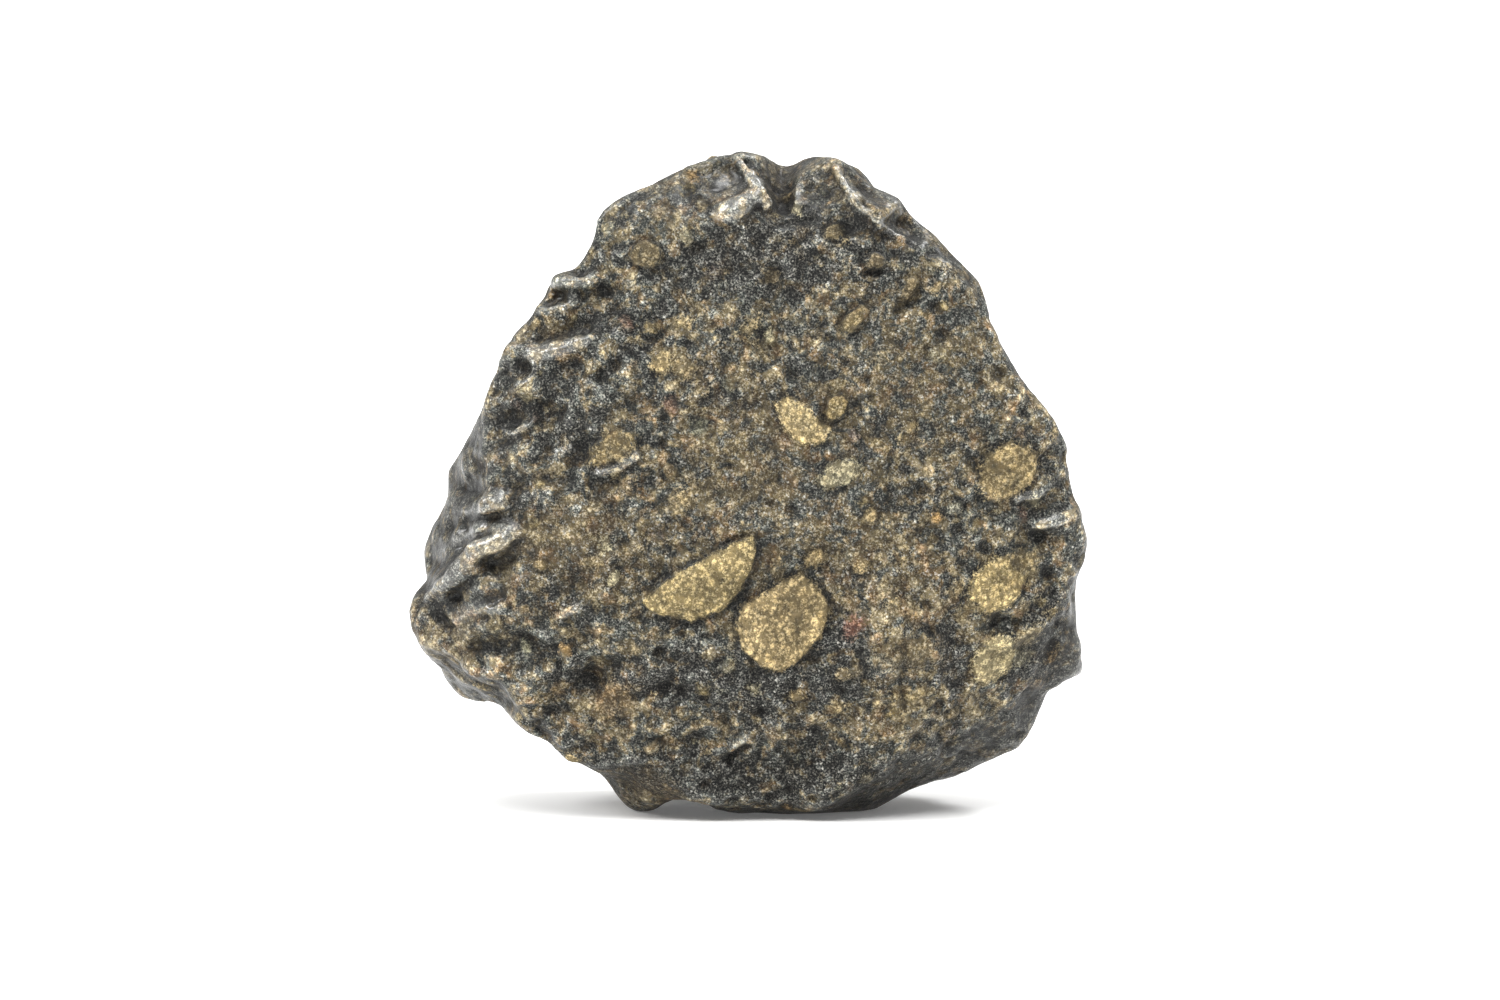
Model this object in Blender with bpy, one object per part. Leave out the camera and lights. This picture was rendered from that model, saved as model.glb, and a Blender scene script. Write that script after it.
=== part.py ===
"""A lunar meteorite: one small fragment of dark lunar breccia, 30 mm across.

The stone is a single natural solid. A worn, nearly flat face looks along -Y, with a scalloped edge
round it. Behind that edge the sides swell out to the widest line and then close in to a faceted
back. It stands on a small flat spot at Z = 0.

Every size below is in millimetres, in the stone's own frame: X to the right of the face, Y into the
stone, Z up from the surface that it stands on. Blender's metres come in only where the mesh is made.
"""

import math

import bmesh
import bpy
import numpy as np
from mathutils import Vector, noise

METRES_PER_MM = 0.001

# The axis that the three outlines go round: X and Z of the middle of the face
MIDDLE = (0.0, 14.3)

# Edge of the worn face: X, Z and the depth Y of each point, clockwise from the top left corner
FACE_EDGE = (
    (-6.6, 26.2, -6.6), (-5.5, 26.9, -6.8), (-4.0, 27.2, -6.9), (-2.2, 27.2, -7.1), (-1.0, 27.0, -7.2),
    (0.3, 27.4, -7.2), (0.8, 27.5, -7.1), (2.1, 28.0, -7.0), (3.8, 29.0, -6.6), (4.3, 28.4, -6.7),
    (5.3, 27.2, -6.9), (6.8, 26.1, -6.8), (8.4, 25.1, -6.5), (10.0, 23.8, -6.2), (10.4, 22.7, -6.2),
    (11.1, 21.2, -6.2), (11.9, 19.6, -6.1), (12.5, 18.4, -6.0), (13.4, 17.1, -5.8), (13.7, 15.8, -5.6),
    (13.2, 14.4, -5.5), (13.6, 13.1, -5.3), (13.9, 11.7, -5.1), (13.7, 9.9, -4.9), (13.1, 8.5, -4.8),
    (12.5, 7.7, -4.7), (11.3, 6.3, -4.6), (10.2, 5.2, -4.6), (8.9, 3.9, -4.7), (7.3, 2.7, -4.9),
    (5.8, 1.8, -5.2), (4.0, 1.4, -5.6), (2.2, 1.1, -5.8), (0.9, 1.0, -5.9), (-0.7, 1.0, -5.8),
    (-2.2, 1.3, -5.6), (-3.5, 1.9, -5.3), (-4.7, 2.7, -5.1), (-6.0, 2.9, -5.0), (-7.3, 3.2, -4.9),
    (-9.0, 4.1, -4.9), (-10.5, 5.1, -5.0), (-11.2, 6.0, -5.0), (-12.4, 6.8, -5.0), (-13.3, 8.2, -5.1),
    (-13.6, 9.8, -5.4), (-13.1, 11.1, -5.7), (-12.0, 12.5, -6.1), (-11.5, 13.8, -6.3), (-11.4, 15.4, -6.4),
    (-11.4, 16.7, -6.5), (-11.2, 18.1, -6.6), (-11.1, 19.2, -6.7), (-10.7, 20.2, -6.8), (-10.2, 21.3, -6.8),
    (-9.7, 22.1, -6.8), (-9.0, 23.0, -6.8), (-8.6, 23.8, -6.7), (-7.5, 24.4, -6.7), (-7.0, 25.3, -6.6),
)

# Widest line round the stone, which is its outline from the front
WIDEST_LINE = (
    (-0.4, 29.9, -5.5), (0.4, 29.8, -5.0), (1.6, 29.6, -2.6), (2.8, 29.7, -3.2), (4.0, 29.6, -5.5),
    (4.8, 29.2, -5.5), (5.8, 28.2, -5.2), (6.7, 27.7, -5.0), (7.5, 27.1, -5.0), (7.9, 26.5, -5.0),
    (8.9, 25.4, -5.0), (10.2, 24.1, -5.0), (10.5, 23.3, -5.2), (10.6, 22.4, -5.4), (11.2, 21.2, -5.4),
    (12.0, 19.9, -5.3), (12.7, 18.6, -5.2), (13.6, 17.6, -5.0), (14.2, 16.6, -4.6), (14.2, 15.1, -4.4),
    (14.4, 13.8, -4.0), (14.9, 12.4, -3.4), (14.9, 11.5, -3.0), (14.7, 10.1, -2.6), (14.7, 8.4, -2.4),
    (15.0, 7.5, -2.2), (14.6, 6.4, -1.8), (13.4, 5.5, -1.4), (13.1, 4.5, -1.2), (12.7, 3.5, -1.0),
    (12.1, 2.7, -0.6), (11.3, 2.1, -0.3), (9.9, 1.5, 0.0), (8.3, 1.1, 0.0), (7.1, 0.7, 0.0),
    (6.2, 0.2, 0.0), (5.2, -0.4, -0.2), (3.8, -0.7, -0.3), (1.6, -0.8, -0.3), (-0.6, -0.7, -0.4),
    (-1.6, -0.2, -0.6), (-2.4, 0.6, -0.8), (-3.4, 0.6, -1.0), (-4.2, 0.0, -1.0), (-4.9, -0.4, -1.0),
    (-5.7, 0.1, -1.0), (-6.4, 1.3, -1.2), (-6.9, 1.9, -2.0), (-7.4, 2.8, -4.0), (-8.7, 3.4, -4.5),
    (-10.0, 3.9, -4.6), (-10.8, 4.5, -4.6), (-11.3, 5.0, -3.0), (-12.2, 4.9, -1.6), (-13.0, 4.9, -0.5),
    (-13.5, 5.5, -0.4), (-13.9, 6.4, -1.6), (-14.6, 7.4, -3.0), (-15.1, 8.5, -3.4), (-15.3, 9.5, -3.6),
    (-15.0, 10.0, -3.2), (-14.5, 10.5, -1.5), (-14.7, 11.1, 0.0), (-14.7, 11.9, 0.3), (-14.4, 12.9, 0.3),
    (-13.7, 14.0, 0.0), (-13.1, 15.3, -0.5), (-13.0, 16.2, -1.0), (-12.5, 17.2, -2.0), (-12.1, 18.2, -4.0),
    (-11.7, 18.8, -5.5), (-11.6, 19.5, -5.9), (-11.1, 20.3, -6.0), (-10.7, 21.2, -6.1), (-10.5, 21.8, -6.1),
    (-9.7, 22.6, -6.1), (-9.2, 23.5, -6.0), (-8.8, 24.3, -6.0), (-7.8, 24.8, -5.9), (-7.4, 25.3, -5.9),
    (-7.0, 26.0, -5.9), (-7.0, 26.7, -5.8), (-6.6, 27.3, -5.6), (-5.8, 27.8, -5.4), (-4.4, 28.3, -5.3),
    (-3.1, 29.1, -5.2), (-2.1, 29.3, -5.3), (-1.2, 29.7, -5.4),
)

# Edge of the back, where the sides turn in to the hidden face
BACK_EDGE = (
    (0.5, 25.2, 3.6), (4.5, 24.2, 4.0), (8.0, 20.5, 4.8), (10.4, 16.0, 5.6), (11.2, 11.5, 6.2),
    (10.0, 6.8, 6.4), (6.5, 3.4, 6.6), (2.0, 2.2, 6.4), (-3.0, 2.4, 6.4), (-7.5, 4.2, 6.8),
    (-10.6, 8.0, 7.0), (-11.4, 12.5, 6.6), (-10.0, 17.5, 5.4), (-7.0, 22.0, 4.2), (-3.0, 24.8, 3.6),
)
FRONT_DEPTH = -7.6
BACK_DEPTH = 8.8

# Just behind the widest line the small scallops of the outline have died away
SCALLOP_SPAN = math.radians(16)
BEHIND_WIDEST_REACH = 0.975
BEHIND_WIDEST_DEPTH = 0.30

# Broad planes that the fracture left. Each is the way it faces and a point that it passes through
FLATS = {
    "lower face": ((0.0, -0.95, -0.31), (0.0, -7.35, 7.0)),
    "top of the face": ((0.0, -0.80, 0.60), (0.0, -7.15, 27.0)),
    "left of the face": ((-0.34, -0.93, 0.10), (-9.0, -7.05, 17.0)),
    "right of the face": ((0.36, -0.92, -0.14), (10.5, -6.15, 11.0)),
    "upper left back": ((-0.58, 0.72, 0.38), (-9.4, 3.6, 19.0)),
    "upper right back": ((0.60, 0.68, 0.42), (8.6, 3.4, 19.6)),
    "top back": ((0.06, 0.72, 0.69), (0.0, 4.6, 24.2)),
    "middle of the back": ((0.05, 0.99, 0.12), (0.0, 7.9, 13.0)),
    "lower right back": ((0.78, 0.58, -0.24), (11.6, 3.8, 8.0)),
    "lower left back": ((-0.74, 0.66, -0.12), (-11.6, 4.6, 9.5)),
    "heel": ((0.08, 0.62, -0.78), (0.5, 6.0, 2.3)),
    "under left": ((-0.52, 0.30, -0.80), (-8.8, 2.0, 3.0)),
    "under right": ((0.50, 0.22, -0.84), (8.8, 2.0, 1.5)),
    "under the front": ((0.02, -0.215, -0.976), (1.5, -5.8, 0.72)),
}
FLAT_ROUNDING = 0.22

# Ridges on the face and its edge: points X, Z, then half width and height
FACE_RIDGES = {
    "left of the notch": (((-0.4, 29.5), (0.8, 27.6)), 0.30, 0.40),
    "under the notch": (((-1.1, 27.0), (0.3, 27.8)), 0.30, 0.35),
    "right of the notch": (((2.1, 28.9), (2.1, 27.7)), 0.30, 0.40),
    "long top ridge": (((3.8, 29.2), (4.8, 27.6), (6.7, 26.3)), 0.32, 0.42),
    "short top ridge": (((5.8, 27.0), (6.8, 27.8)), 0.28, 0.30),
    "upper left lip": (((-8.6, 24.1), (-7.1, 24.3)), 0.38, 0.32),
    "second left lip": (((-9.3, 22.9), (-7.4, 23.3)), 0.34, 0.32),
    "third left lip": (((-9.5, 20.8), (-7.1, 21.7)), 0.34, 0.38),
    "fourth left lip": (((-10.5, 17.6), (-9.6, 18.0)), 0.30, 0.28),
    "fifth left lip": (((-12.7, 14.0), (-10.9, 14.4)), 0.38, 0.36),
    "sixth left lip": (((-13.3, 12.2), (-11.9, 13.3)), 0.32, 0.32),
    "long left ledge": (((-13.7, 10.6), (-12.7, 11.7), (-10.8, 12.8)), 0.48, 0.50),
    "middle lip": (((-6.6, 15.9), (-4.9, 16.6)), 0.26, 0.20),
    "upper right lip": (((11.8, 14.6), (12.9, 14.9)), 0.26, 0.26),
    "lower right lip": (((12.9, 13.4), (14.1, 13.7)), 0.30, 0.32),
    "corner lip": (((11.0, 8.3), (12.2, 8.6), (13.2, 9.0)), 0.34, 0.22),
}

# Hollows in the face and its edge, in the same form
FACE_HOLLOWS = {
    "notch": (((1.5, 29.4), (1.5, 28.0)), 0.80, 1.00),
    "left of the notch": (((-1.9, 28.3), (-0.8, 28.5)), 0.60, 0.40),
    "top pit": (((4.9, 28.9), (5.4, 28.3)), 0.38, 0.70),
    "top right hollow": (((6.2, 26.7), (7.2, 27.0)), 0.55, 0.60),
    "pit in a clast": (((6.9, 23.4), (7.3, 23.6)), 0.35, 0.40),
    "under the upper left lip": (((-9.0, 23.6), (-8.6, 23.8)), 0.42, 0.45),
    "over the third left lip": (((-9.1, 21.6), (-7.3, 22.3)), 0.42, 0.42),
    "over the fourth left lip": (((-11.3, 18.1), (-10.3, 18.2)), 0.45, 0.42),
    "over the fifth left lip": (((-12.6, 14.7), (-12.0, 14.9)), 0.42, 0.50),
    "over the long ledge": (((-13.0, 12.3), (-11.5, 13.2)), 0.30, 0.35),
    "lower left dent": (((-12.0, 7.9), (-11.0, 8.1)), 0.48, 0.38),
    "lower left valley": (((-8.6, 5.6), (-6.4, 6.6)), 0.80, 0.35),
    "right groove": (((11.0, 8.9), (12.9, 9.6)), 0.36, 0.45),
    "right corner scoop": (((13.7, 7.3), (14.0, 7.6)), 0.75, 0.60),
    "right edge dent": (((13.3, 16.0), (14.0, 16.3)), 0.32, 0.35),
    "right face dent": (((12.2, 12.8), (13.0, 13.0)), 0.50, 0.30),
}

# Pale fragments stand a little proud of the face: X, Z, half length, half width, turn in degrees, height
FACE_CLASTS = {
    "half moon": (-2.2, 11.1, 2.9, 1.25, 29.0, 0.24),
    "rounded triangle": (1.5, 9.2, 2.1, 1.9, 60.0, 0.20),
    "upper": (2.3, 18.3, 0.9, 0.8, -30.0, 0.08),
    "olive bead": (3.8, 18.8, 0.50, 0.38, 45.0, 0.16),
    "grey oval": (4.0, 15.8, 1.0, 0.6, 25.0, 0.10),
    "left": (-6.1, 17.0, 1.3, 0.7, 25.0, 0.12),
    "right": (11.3, 15.7, 1.5, 1.1, 35.0, 0.14),
    "lower right": (10.8, 10.7, 1.6, 1.3, 35.0, 0.14),
    "right corner": (11.0, 7.7, 1.3, 1.1, 40.0, 0.14),
}

# Thumbprints in the sides, top and back: centre X, Y, Z near the surface, then radius and depth
THUMBPRINTS = {
    "crown": ((1.5, -1.0, 27.8), 1.8, 0.60),
    "crown left": ((-4.2, -1.5, 26.8), 2.2, 0.55),
    "crown right": ((7.4, -1.0, 24.6), 2.4, 0.60),
    "shoulder left": ((-10.0, 0.5, 20.0), 2.4, 0.60),
    "shoulder right": ((11.6, -0.5, 17.6), 2.2, 0.55),
    "cheek left": ((-13.6, 3.0, 12.5), 2.3, 0.65),
    "cheek right": ((13.4, 2.0, 10.0), 2.5, 0.60),
    "low right": ((11.5, 2.0, 3.4), 2.0, 0.45),
    "low left": ((-11.0, 3.0, 5.0), 2.1, 0.50),
    "back high": ((-1.5, 6.0, 21.5), 2.6, 0.65),
    "back high right": ((5.6, 5.6, 19.6), 2.2, 0.50),
    "back left": ((-6.8, 7.2, 15.4), 2.8, 0.70),
    "back middle": ((1.2, 8.0, 14.6), 2.4, 0.55),
    "back right": ((7.8, 7.2, 11.4), 2.7, 0.65),
    "back low": ((-2.4, 8.0, 8.2), 2.8, 0.65),
    "back low left": ((-8.6, 6.6, 8.2), 2.1, 0.50),
    "back low right": ((4.6, 7.4, 5.8), 2.0, 0.45),
}

# Rib-like crests between the thumbprints: two points X, Y, Z, then half width and height
CRESTS = {
    "crown rib": (((-1.4, -3.0, 28.6), (-1.0, 2.0, 26.4)), 0.55, 0.40),
    "right crown rib": (((4.4, -3.5, 28.2), (4.8, 2.0, 25.2)), 0.60, 0.40),
    "right shoulder rib": (((10.4, -3.5, 22.6), (8.4, 3.0, 20.8)), 0.60, 0.38),
    "left shoulder rib": (((-8.6, -4.0, 24.0), (-7.6, 3.0, 21.8)), 0.60, 0.40),
    "left cheek rib": (((-13.6, -1.0, 15.4), (-11.0, 5.4, 15.0)), 0.60, 0.40),
    "left low rib": (((-14.6, -1.5, 9.4), (-11.6, 5.0, 9.2)), 0.60, 0.42),
    "right cheek rib": (((15.0, -2.0, 12.2), (11.4, 5.0, 13.4)), 0.60, 0.40),
    "right low rib": (((14.4, -1.5, 6.8), (11.2, 5.0, 6.0)), 0.60, 0.40),
    "back spine": (((-3.8, 7.4, 18.8), (3.6, 8.0, 10.4)), 0.75, 0.40),
    "back branch": (((3.6, 8.0, 10.4), (9.4, 5.6, 15.4)), 0.65, 0.35),
    "back foot": (((-3.8, 7.6, 12.0), (-6.4, 7.2, 5.6)), 0.65, 0.35),
}

# Lumpiness of the worn surface: the size of a lump and how far it stands out
LUMPS = ((5.5, 0.55), (2.8, 0.36), (1.3, 0.17), (0.7, 0.07))
# The face is worn flatter than the rest, and the lumps keep clear of the drawn outline
FACE_LUMP_SHARE = 0.85
OUTLINE_BAND = 0.35
OUTLINE_LUMP_SHARE = 0.2
# Left of this the face broke into shelves, so its smaller lumps are twice as tall
BROKEN_FROM = -3.0
BROKEN_FADE = 4.0
BROKEN_LUMP_SIZE = 2.0

# Places of the rows along each profile, from the middle of the face to the middle of the back
ROWS = (0.0, 0.18, 0.31, 0.36, 0.49, 0.56, 0.70, 0.85, 1.0)
INNER_FACE_REACH = 0.50
OUTER_FACE_REACH = 0.90
INNER_BACK_REACH = 0.55

GLOBE_SUBDIVISIONS = 6
CALM_ROUNDS = 8
FACE_FADE = 0.5
FACET_COUNT = 9300
FLOOR_SNAP = 0.002

DARK_BRECCIA = (0.055, 0.056, 0.055, 1.0)
BRECCIA_ROUGHNESS = 0.55


def clear_scene():
    for scene_object in list(bpy.data.objects):
        bpy.data.objects.remove(scene_object)


def outline_reader(points, span=0.0):
    """Function from an angle round MIDDLE to the outline's distance from it and its depth."""
    x, z, depth = np.array(points).T
    angle = np.arctan2(z - MIDDLE[1], x - MIDDLE[0])
    reach = np.hypot(x - MIDDLE[0], z - MIDDLE[1])
    order = np.argsort(angle)
    turns = np.concatenate([angle[order] - 2 * math.pi, angle[order], angle[order] + 2 * math.pi])
    reaches, depths = np.tile(reach[order], 3), np.tile(depth[order], 3)

    def read(wanted):
        shifts = np.linspace(-span / 2, span / 2, 9) if span else [0.0]
        reach = np.mean([np.interp(wanted + shift, turns, reaches) for shift in shifts], axis=0)
        depth = np.mean([np.interp(wanted + shift, turns, depths) for shift in shifts], axis=0)
        return reach, depth

    return read


def smooth_profile(profile, place):
    """Curve through each column of the profile's rows that never swings past them, read at one place."""
    knots = np.array(ROWS)
    steps = np.diff(profile, axis=0) / np.diff(knots)[:, None, None]
    same_way = np.maximum(steps[:-1] * steps[1:], 0)
    total = steps[:-1] + steps[1:]
    inner = np.divide(2 * same_way, total, out=np.zeros_like(total), where=same_way > 0)
    slopes = np.concatenate([steps[:1], inner, steps[-1:]])
    slopes[[0, -1], :, 1] = 0.0
    spot = np.clip(np.searchsorted(knots, place, side="right") - 1, 0, len(knots) - 2)
    column = np.arange(len(place))
    span = (knots[spot + 1] - knots[spot])[:, None]
    share = (place - knots[spot])[:, None] / span
    before, after = profile[spot, column], profile[spot + 1, column]
    leaving, arriving = slopes[spot, column] * span, slopes[spot + 1, column] * span
    swing = share * share * (3 - 2 * share)
    bend = leaving * share * (1 - share) ** 2 - arriving * share**2 * (1 - share)
    return before + (after - before) * swing + bend


def loft(directions):
    """Point of the stone's skin for each direction out of a globe whose front pole is -Y."""
    x, y, z = directions.T
    angle = np.arctan2(z, x)
    face_reach, face_depth = outline_reader(FACE_EDGE)(angle)
    wide_reach, wide_depth = outline_reader(WIDEST_LINE)(angle)
    calm_reach, calm_depth = outline_reader(WIDEST_LINE, SCALLOP_SPAN)(angle)
    back_reach, back_depth = outline_reader(BACK_EDGE)(angle)
    none = np.zeros_like(angle)
    face_drop = face_depth - FRONT_DEPTH
    back_drop = BACK_DEPTH - back_depth
    behind_depth = calm_depth + BEHIND_WIDEST_DEPTH * (back_depth - calm_depth)
    behind_reach = BEHIND_WIDEST_REACH * np.minimum(calm_reach, wide_reach)
    reaches = (
        none, INNER_FACE_REACH * face_reach, OUTER_FACE_REACH * face_reach, face_reach, wide_reach,
        behind_reach, back_reach, INNER_BACK_REACH * back_reach, none,
    )
    depths = (
        none + FRONT_DEPTH, FRONT_DEPTH + 0.10 * face_drop, FRONT_DEPTH + 0.62 * face_drop, face_depth,
        wide_depth, behind_depth, back_depth, BACK_DEPTH - 0.30 * back_drop, none + BACK_DEPTH,
    )
    profile = np.stack([np.stack(reaches), np.stack(depths)], axis=-1)
    place = np.arccos(np.clip(-y, -1, 1)) / math.pi
    reach, depth = smooth_profile(profile, place).T
    return np.stack([MIDDLE[0] + reach * np.cos(angle), depth, MIDDLE[1] + reach * np.sin(angle)], axis=1)


def cut_flats(points):
    """Wears the skin down to each broad plane, with a rounded turn into it."""
    for facing, through in FLATS.values():
        facing = np.array(facing) / np.linalg.norm(facing)
        proud = (points - np.array(through)) @ facing
        worn = FLAT_ROUNDING * np.logaddexp(0, proud / FLAT_ROUNDING)
        points = points - worn[:, None] * facing
    return points


def distance_to_line(points, line):
    """Shortest distance from each point to a line through several corners."""
    nearest = np.full(len(points), np.inf)
    for start, end in zip(line[:-1], line[1:]):
        start, run = np.array(start), np.array(end) - np.array(start)
        share = np.clip((points - start) @ run / (run @ run), 0, 1)
        nearest = np.minimum(nearest, np.linalg.norm(points - start - share[:, None] * run, axis=1))
    return nearest


def relief(points, normals):
    """How far each point stands out of the smooth skin, in millimetres."""
    height = np.zeros(len(points))
    on_face = np.clip((FACE_FADE - normals[:, 1]) / (2 * FACE_FADE), 0, 1)
    seen = points[:, [0, 2]]
    for line, half_width, tall in FACE_RIDGES.values():
        height += on_face * tall * np.exp(-((distance_to_line(seen, line) / half_width) ** 2))
    for line, half_width, deep in FACE_HOLLOWS.values():
        height -= on_face * deep * np.exp(-((distance_to_line(seen, line) / half_width) ** 2))
    for x, z, half_length, half_width, turn, tall in FACE_CLASTS.values():
        turn = math.radians(turn)
        along = (seen - (x, z)) @ (math.cos(turn), math.sin(turn)) / half_length
        across = (seen - (x, z)) @ (-math.sin(turn), math.cos(turn)) / half_width
        height += on_face * tall * np.clip(2.5 * (1 - np.hypot(along, across)), 0, 1)
    for centre, radius, deep in THUMBPRINTS.values():
        centre = points[np.argmin(np.linalg.norm(points - centre, axis=1))]
        height -= deep * np.exp(-((np.linalg.norm(points - centre, axis=1) / radius) ** 2))
    for line, half_width, tall in CRESTS.values():
        ends = [points[np.argmin(np.linalg.norm(points - end, axis=1))] for end in line]
        height += tall * np.exp(-((distance_to_line(points, ends) / half_width) ** 2))
    lump_share = 1 - (1 - FACE_LUMP_SHARE) * np.clip(-normals[:, 1], 0, 1)
    lump_share *= np.clip(np.abs(normals[:, 1]) / OUTLINE_BAND, OUTLINE_LUMP_SHARE, 1)
    broken = 1 + np.clip((BROKEN_FROM - points[:, 0]) / BROKEN_FADE, 0, 1)
    for size, tall in LUMPS:
        lumps = np.array([noise.noise(Vector(point) / size) for point in points])
        height += lump_share * tall * lumps * (broken if size < BROKEN_LUMP_SIZE else 1)
    return height


def calm_normals(globe):
    """Normal of each vertex, evened out with its neighbours so that the relief never folds over."""
    normals = np.array([vertex.normal for vertex in globe.verts])
    first, second = np.array([[vertex.index for vertex in edge.verts] for edge in globe.edges]).T
    for _ in range(CALM_ROUNDS):
        total = normals.copy()
        np.add.at(total, first, normals[second])
        np.add.at(total, second, normals[first])
        normals = total / np.linalg.norm(total, axis=1)[:, None]
    return normals


def detailed_stone():
    """Stone with far more facets than it needs, in millimetres, before it is cut flat underneath."""
    globe = bmesh.new()
    bmesh.ops.create_icosphere(globe, subdivisions=GLOBE_SUBDIVISIONS, radius=1.0)
    globe.verts.index_update()
    directions = np.array([vertex.co for vertex in globe.verts])
    points = cut_flats(loft(directions))
    for vertex, point in zip(globe.verts, points):
        vertex.co = point
    globe.normal_update()
    normals = calm_normals(globe)
    points = points + relief(points, normals)[:, None] * normals
    for vertex, point in zip(globe.verts, points):
        vertex.co = point
    mesh = bpy.data.meshes.new("detailed_stone")
    globe.to_mesh(mesh)
    globe.free()
    return mesh


def with_fewer_facets(mesh):
    """Same shape with facets only where it bends."""
    holder = bpy.data.objects.new("detailed_stone", mesh)
    bpy.context.scene.collection.objects.link(holder)
    facets = holder.modifiers.new("fewer facets", "DECIMATE")
    facets.ratio = FACET_COUNT / len(mesh.polygons)
    depsgraph = bpy.context.evaluated_depsgraph_get()
    thinned = bpy.data.meshes.new_from_object(holder.evaluated_get(depsgraph))
    bpy.data.objects.remove(holder)
    bpy.data.meshes.remove(mesh)
    return thinned


def cut_resting_spot(mesh):
    """Cuts the stone off at Z = 0, which leaves the flat spot and the small foot that it stands on."""
    shape = bmesh.new()
    shape.from_mesh(mesh)
    everything = shape.verts[:] + shape.edges[:] + shape.faces[:]
    cut = bmesh.ops.bisect_plane(
        shape, geom=everything, dist=FLOOR_SNAP, plane_co=(0, 0, 0), plane_no=(0, 0, -1), clear_outer=True
    )
    for vertex in shape.verts:
        if abs(vertex.co.z) <= FLOOR_SNAP:
            vertex.co.z = 0.0
    rims = [part for part in cut["geom_cut"] if isinstance(part, bmesh.types.BMEdge)]
    bmesh.ops.holes_fill(shape, edges=rims)
    bmesh.ops.triangulate(shape, faces=[face for face in shape.faces if len(face.verts) > 3])
    bmesh.ops.scale(shape, vec=(METRES_PER_MM,) * 3, verts=shape.verts)
    bmesh.ops.recalc_face_normals(shape, faces=shape.faces)
    shape.to_mesh(mesh)
    shape.free()
    return mesh


def breccia_material():
    material = bpy.data.materials.new("dark_breccia")
    material.use_nodes = True
    shader = material.node_tree.nodes["Principled BSDF"]
    shader.inputs["Base Color"].default_value = DARK_BRECCIA
    shader.inputs["Roughness"].default_value = BRECCIA_ROUGHNESS
    shader.inputs["Metallic"].default_value = 0.0
    return material


def make_stone():
    mesh = cut_resting_spot(with_fewer_facets(detailed_stone()))
    mesh.name = "stone"
    mesh.materials.clear()
    mesh.materials.append(breccia_material())
    mesh.shade_smooth()
    stone = bpy.data.objects.new("stone", mesh)
    bpy.context.scene.collection.objects.link(stone)


def main():
    clear_scene()
    make_stone()


main()
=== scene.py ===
# %% [markdown]
# # A lunar meteorite
# This is a lesson in making one small stone look real. The stone is a regolith breccia: pale clasts,
# which are broken bits of older rock, welded into a dark fine matrix, then worn and varnished in a
# desert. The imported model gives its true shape. Here it gets an even skin, fine relief, clasts and a
# finish.

import math

import bpy
import numpy as np
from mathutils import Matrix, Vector, kdtree, noise


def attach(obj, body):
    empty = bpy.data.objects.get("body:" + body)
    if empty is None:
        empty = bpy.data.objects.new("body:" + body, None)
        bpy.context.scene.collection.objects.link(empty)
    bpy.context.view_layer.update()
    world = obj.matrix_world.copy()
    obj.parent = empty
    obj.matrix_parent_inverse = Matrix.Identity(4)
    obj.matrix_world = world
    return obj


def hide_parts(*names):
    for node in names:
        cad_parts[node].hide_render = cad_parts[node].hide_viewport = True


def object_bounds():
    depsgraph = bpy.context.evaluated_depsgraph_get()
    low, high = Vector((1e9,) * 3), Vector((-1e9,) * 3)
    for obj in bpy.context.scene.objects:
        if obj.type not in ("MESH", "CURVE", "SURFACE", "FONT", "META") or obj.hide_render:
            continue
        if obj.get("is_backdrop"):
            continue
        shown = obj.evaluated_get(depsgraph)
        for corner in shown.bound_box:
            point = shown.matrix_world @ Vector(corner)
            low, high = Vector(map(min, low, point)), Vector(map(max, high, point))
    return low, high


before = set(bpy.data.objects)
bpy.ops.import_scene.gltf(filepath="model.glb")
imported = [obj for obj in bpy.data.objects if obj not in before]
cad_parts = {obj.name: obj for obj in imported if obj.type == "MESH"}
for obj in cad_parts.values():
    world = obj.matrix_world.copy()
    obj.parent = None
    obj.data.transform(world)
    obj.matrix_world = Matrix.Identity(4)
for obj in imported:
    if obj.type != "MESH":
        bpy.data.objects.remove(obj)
cad_low, cad_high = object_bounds()
cad_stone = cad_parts["stone"]
MM = 0.001
print("stone of", [round(side / MM, 1) for side in cad_high - cad_low], "mm")

# %% [markdown]
# ## The camera
# A small stone is photographed with a long lens from well back, so that the near and far parts keep their
# sizes. The picture is 1500 by 1000 pixels and one pixel is 0.044 mm at the stone, which sets the lens
# for a given distance. The camera looks along +Y from a little above the table.

# %% Set up the camera
PHOTO_PIXELS = (1500, 1000)
MM_PER_PIXEL = 0.044
CAMERA_DISTANCE = 320 * MM
CAMERA_RISE = math.radians(5)
LOOKED_AT = Vector((0, -8 * MM, 14.66 * MM))

camera_data = bpy.data.cameras.new("photo_camera")
camera = bpy.data.objects.new("photo_camera", camera_data)
bpy.context.scene.collection.objects.link(camera)
view_width = PHOTO_PIXELS[0] * MM_PER_PIXEL * MM
camera_data.lens = camera_data.sensor_width * CAMERA_DISTANCE / view_width
camera_data.clip_start = 10 * MM
camera_data.clip_end = 20
away = Vector((0, -math.cos(CAMERA_RISE), math.sin(CAMERA_RISE)))
camera.location = LOOKED_AT + away * CAMERA_DISTANCE
camera.rotation_euler = (-away).to_track_quat("-Z", "Y").to_euler()
bpy.context.scene.camera = camera
print("lens", round(camera_data.lens, 1), "mm")
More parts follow.
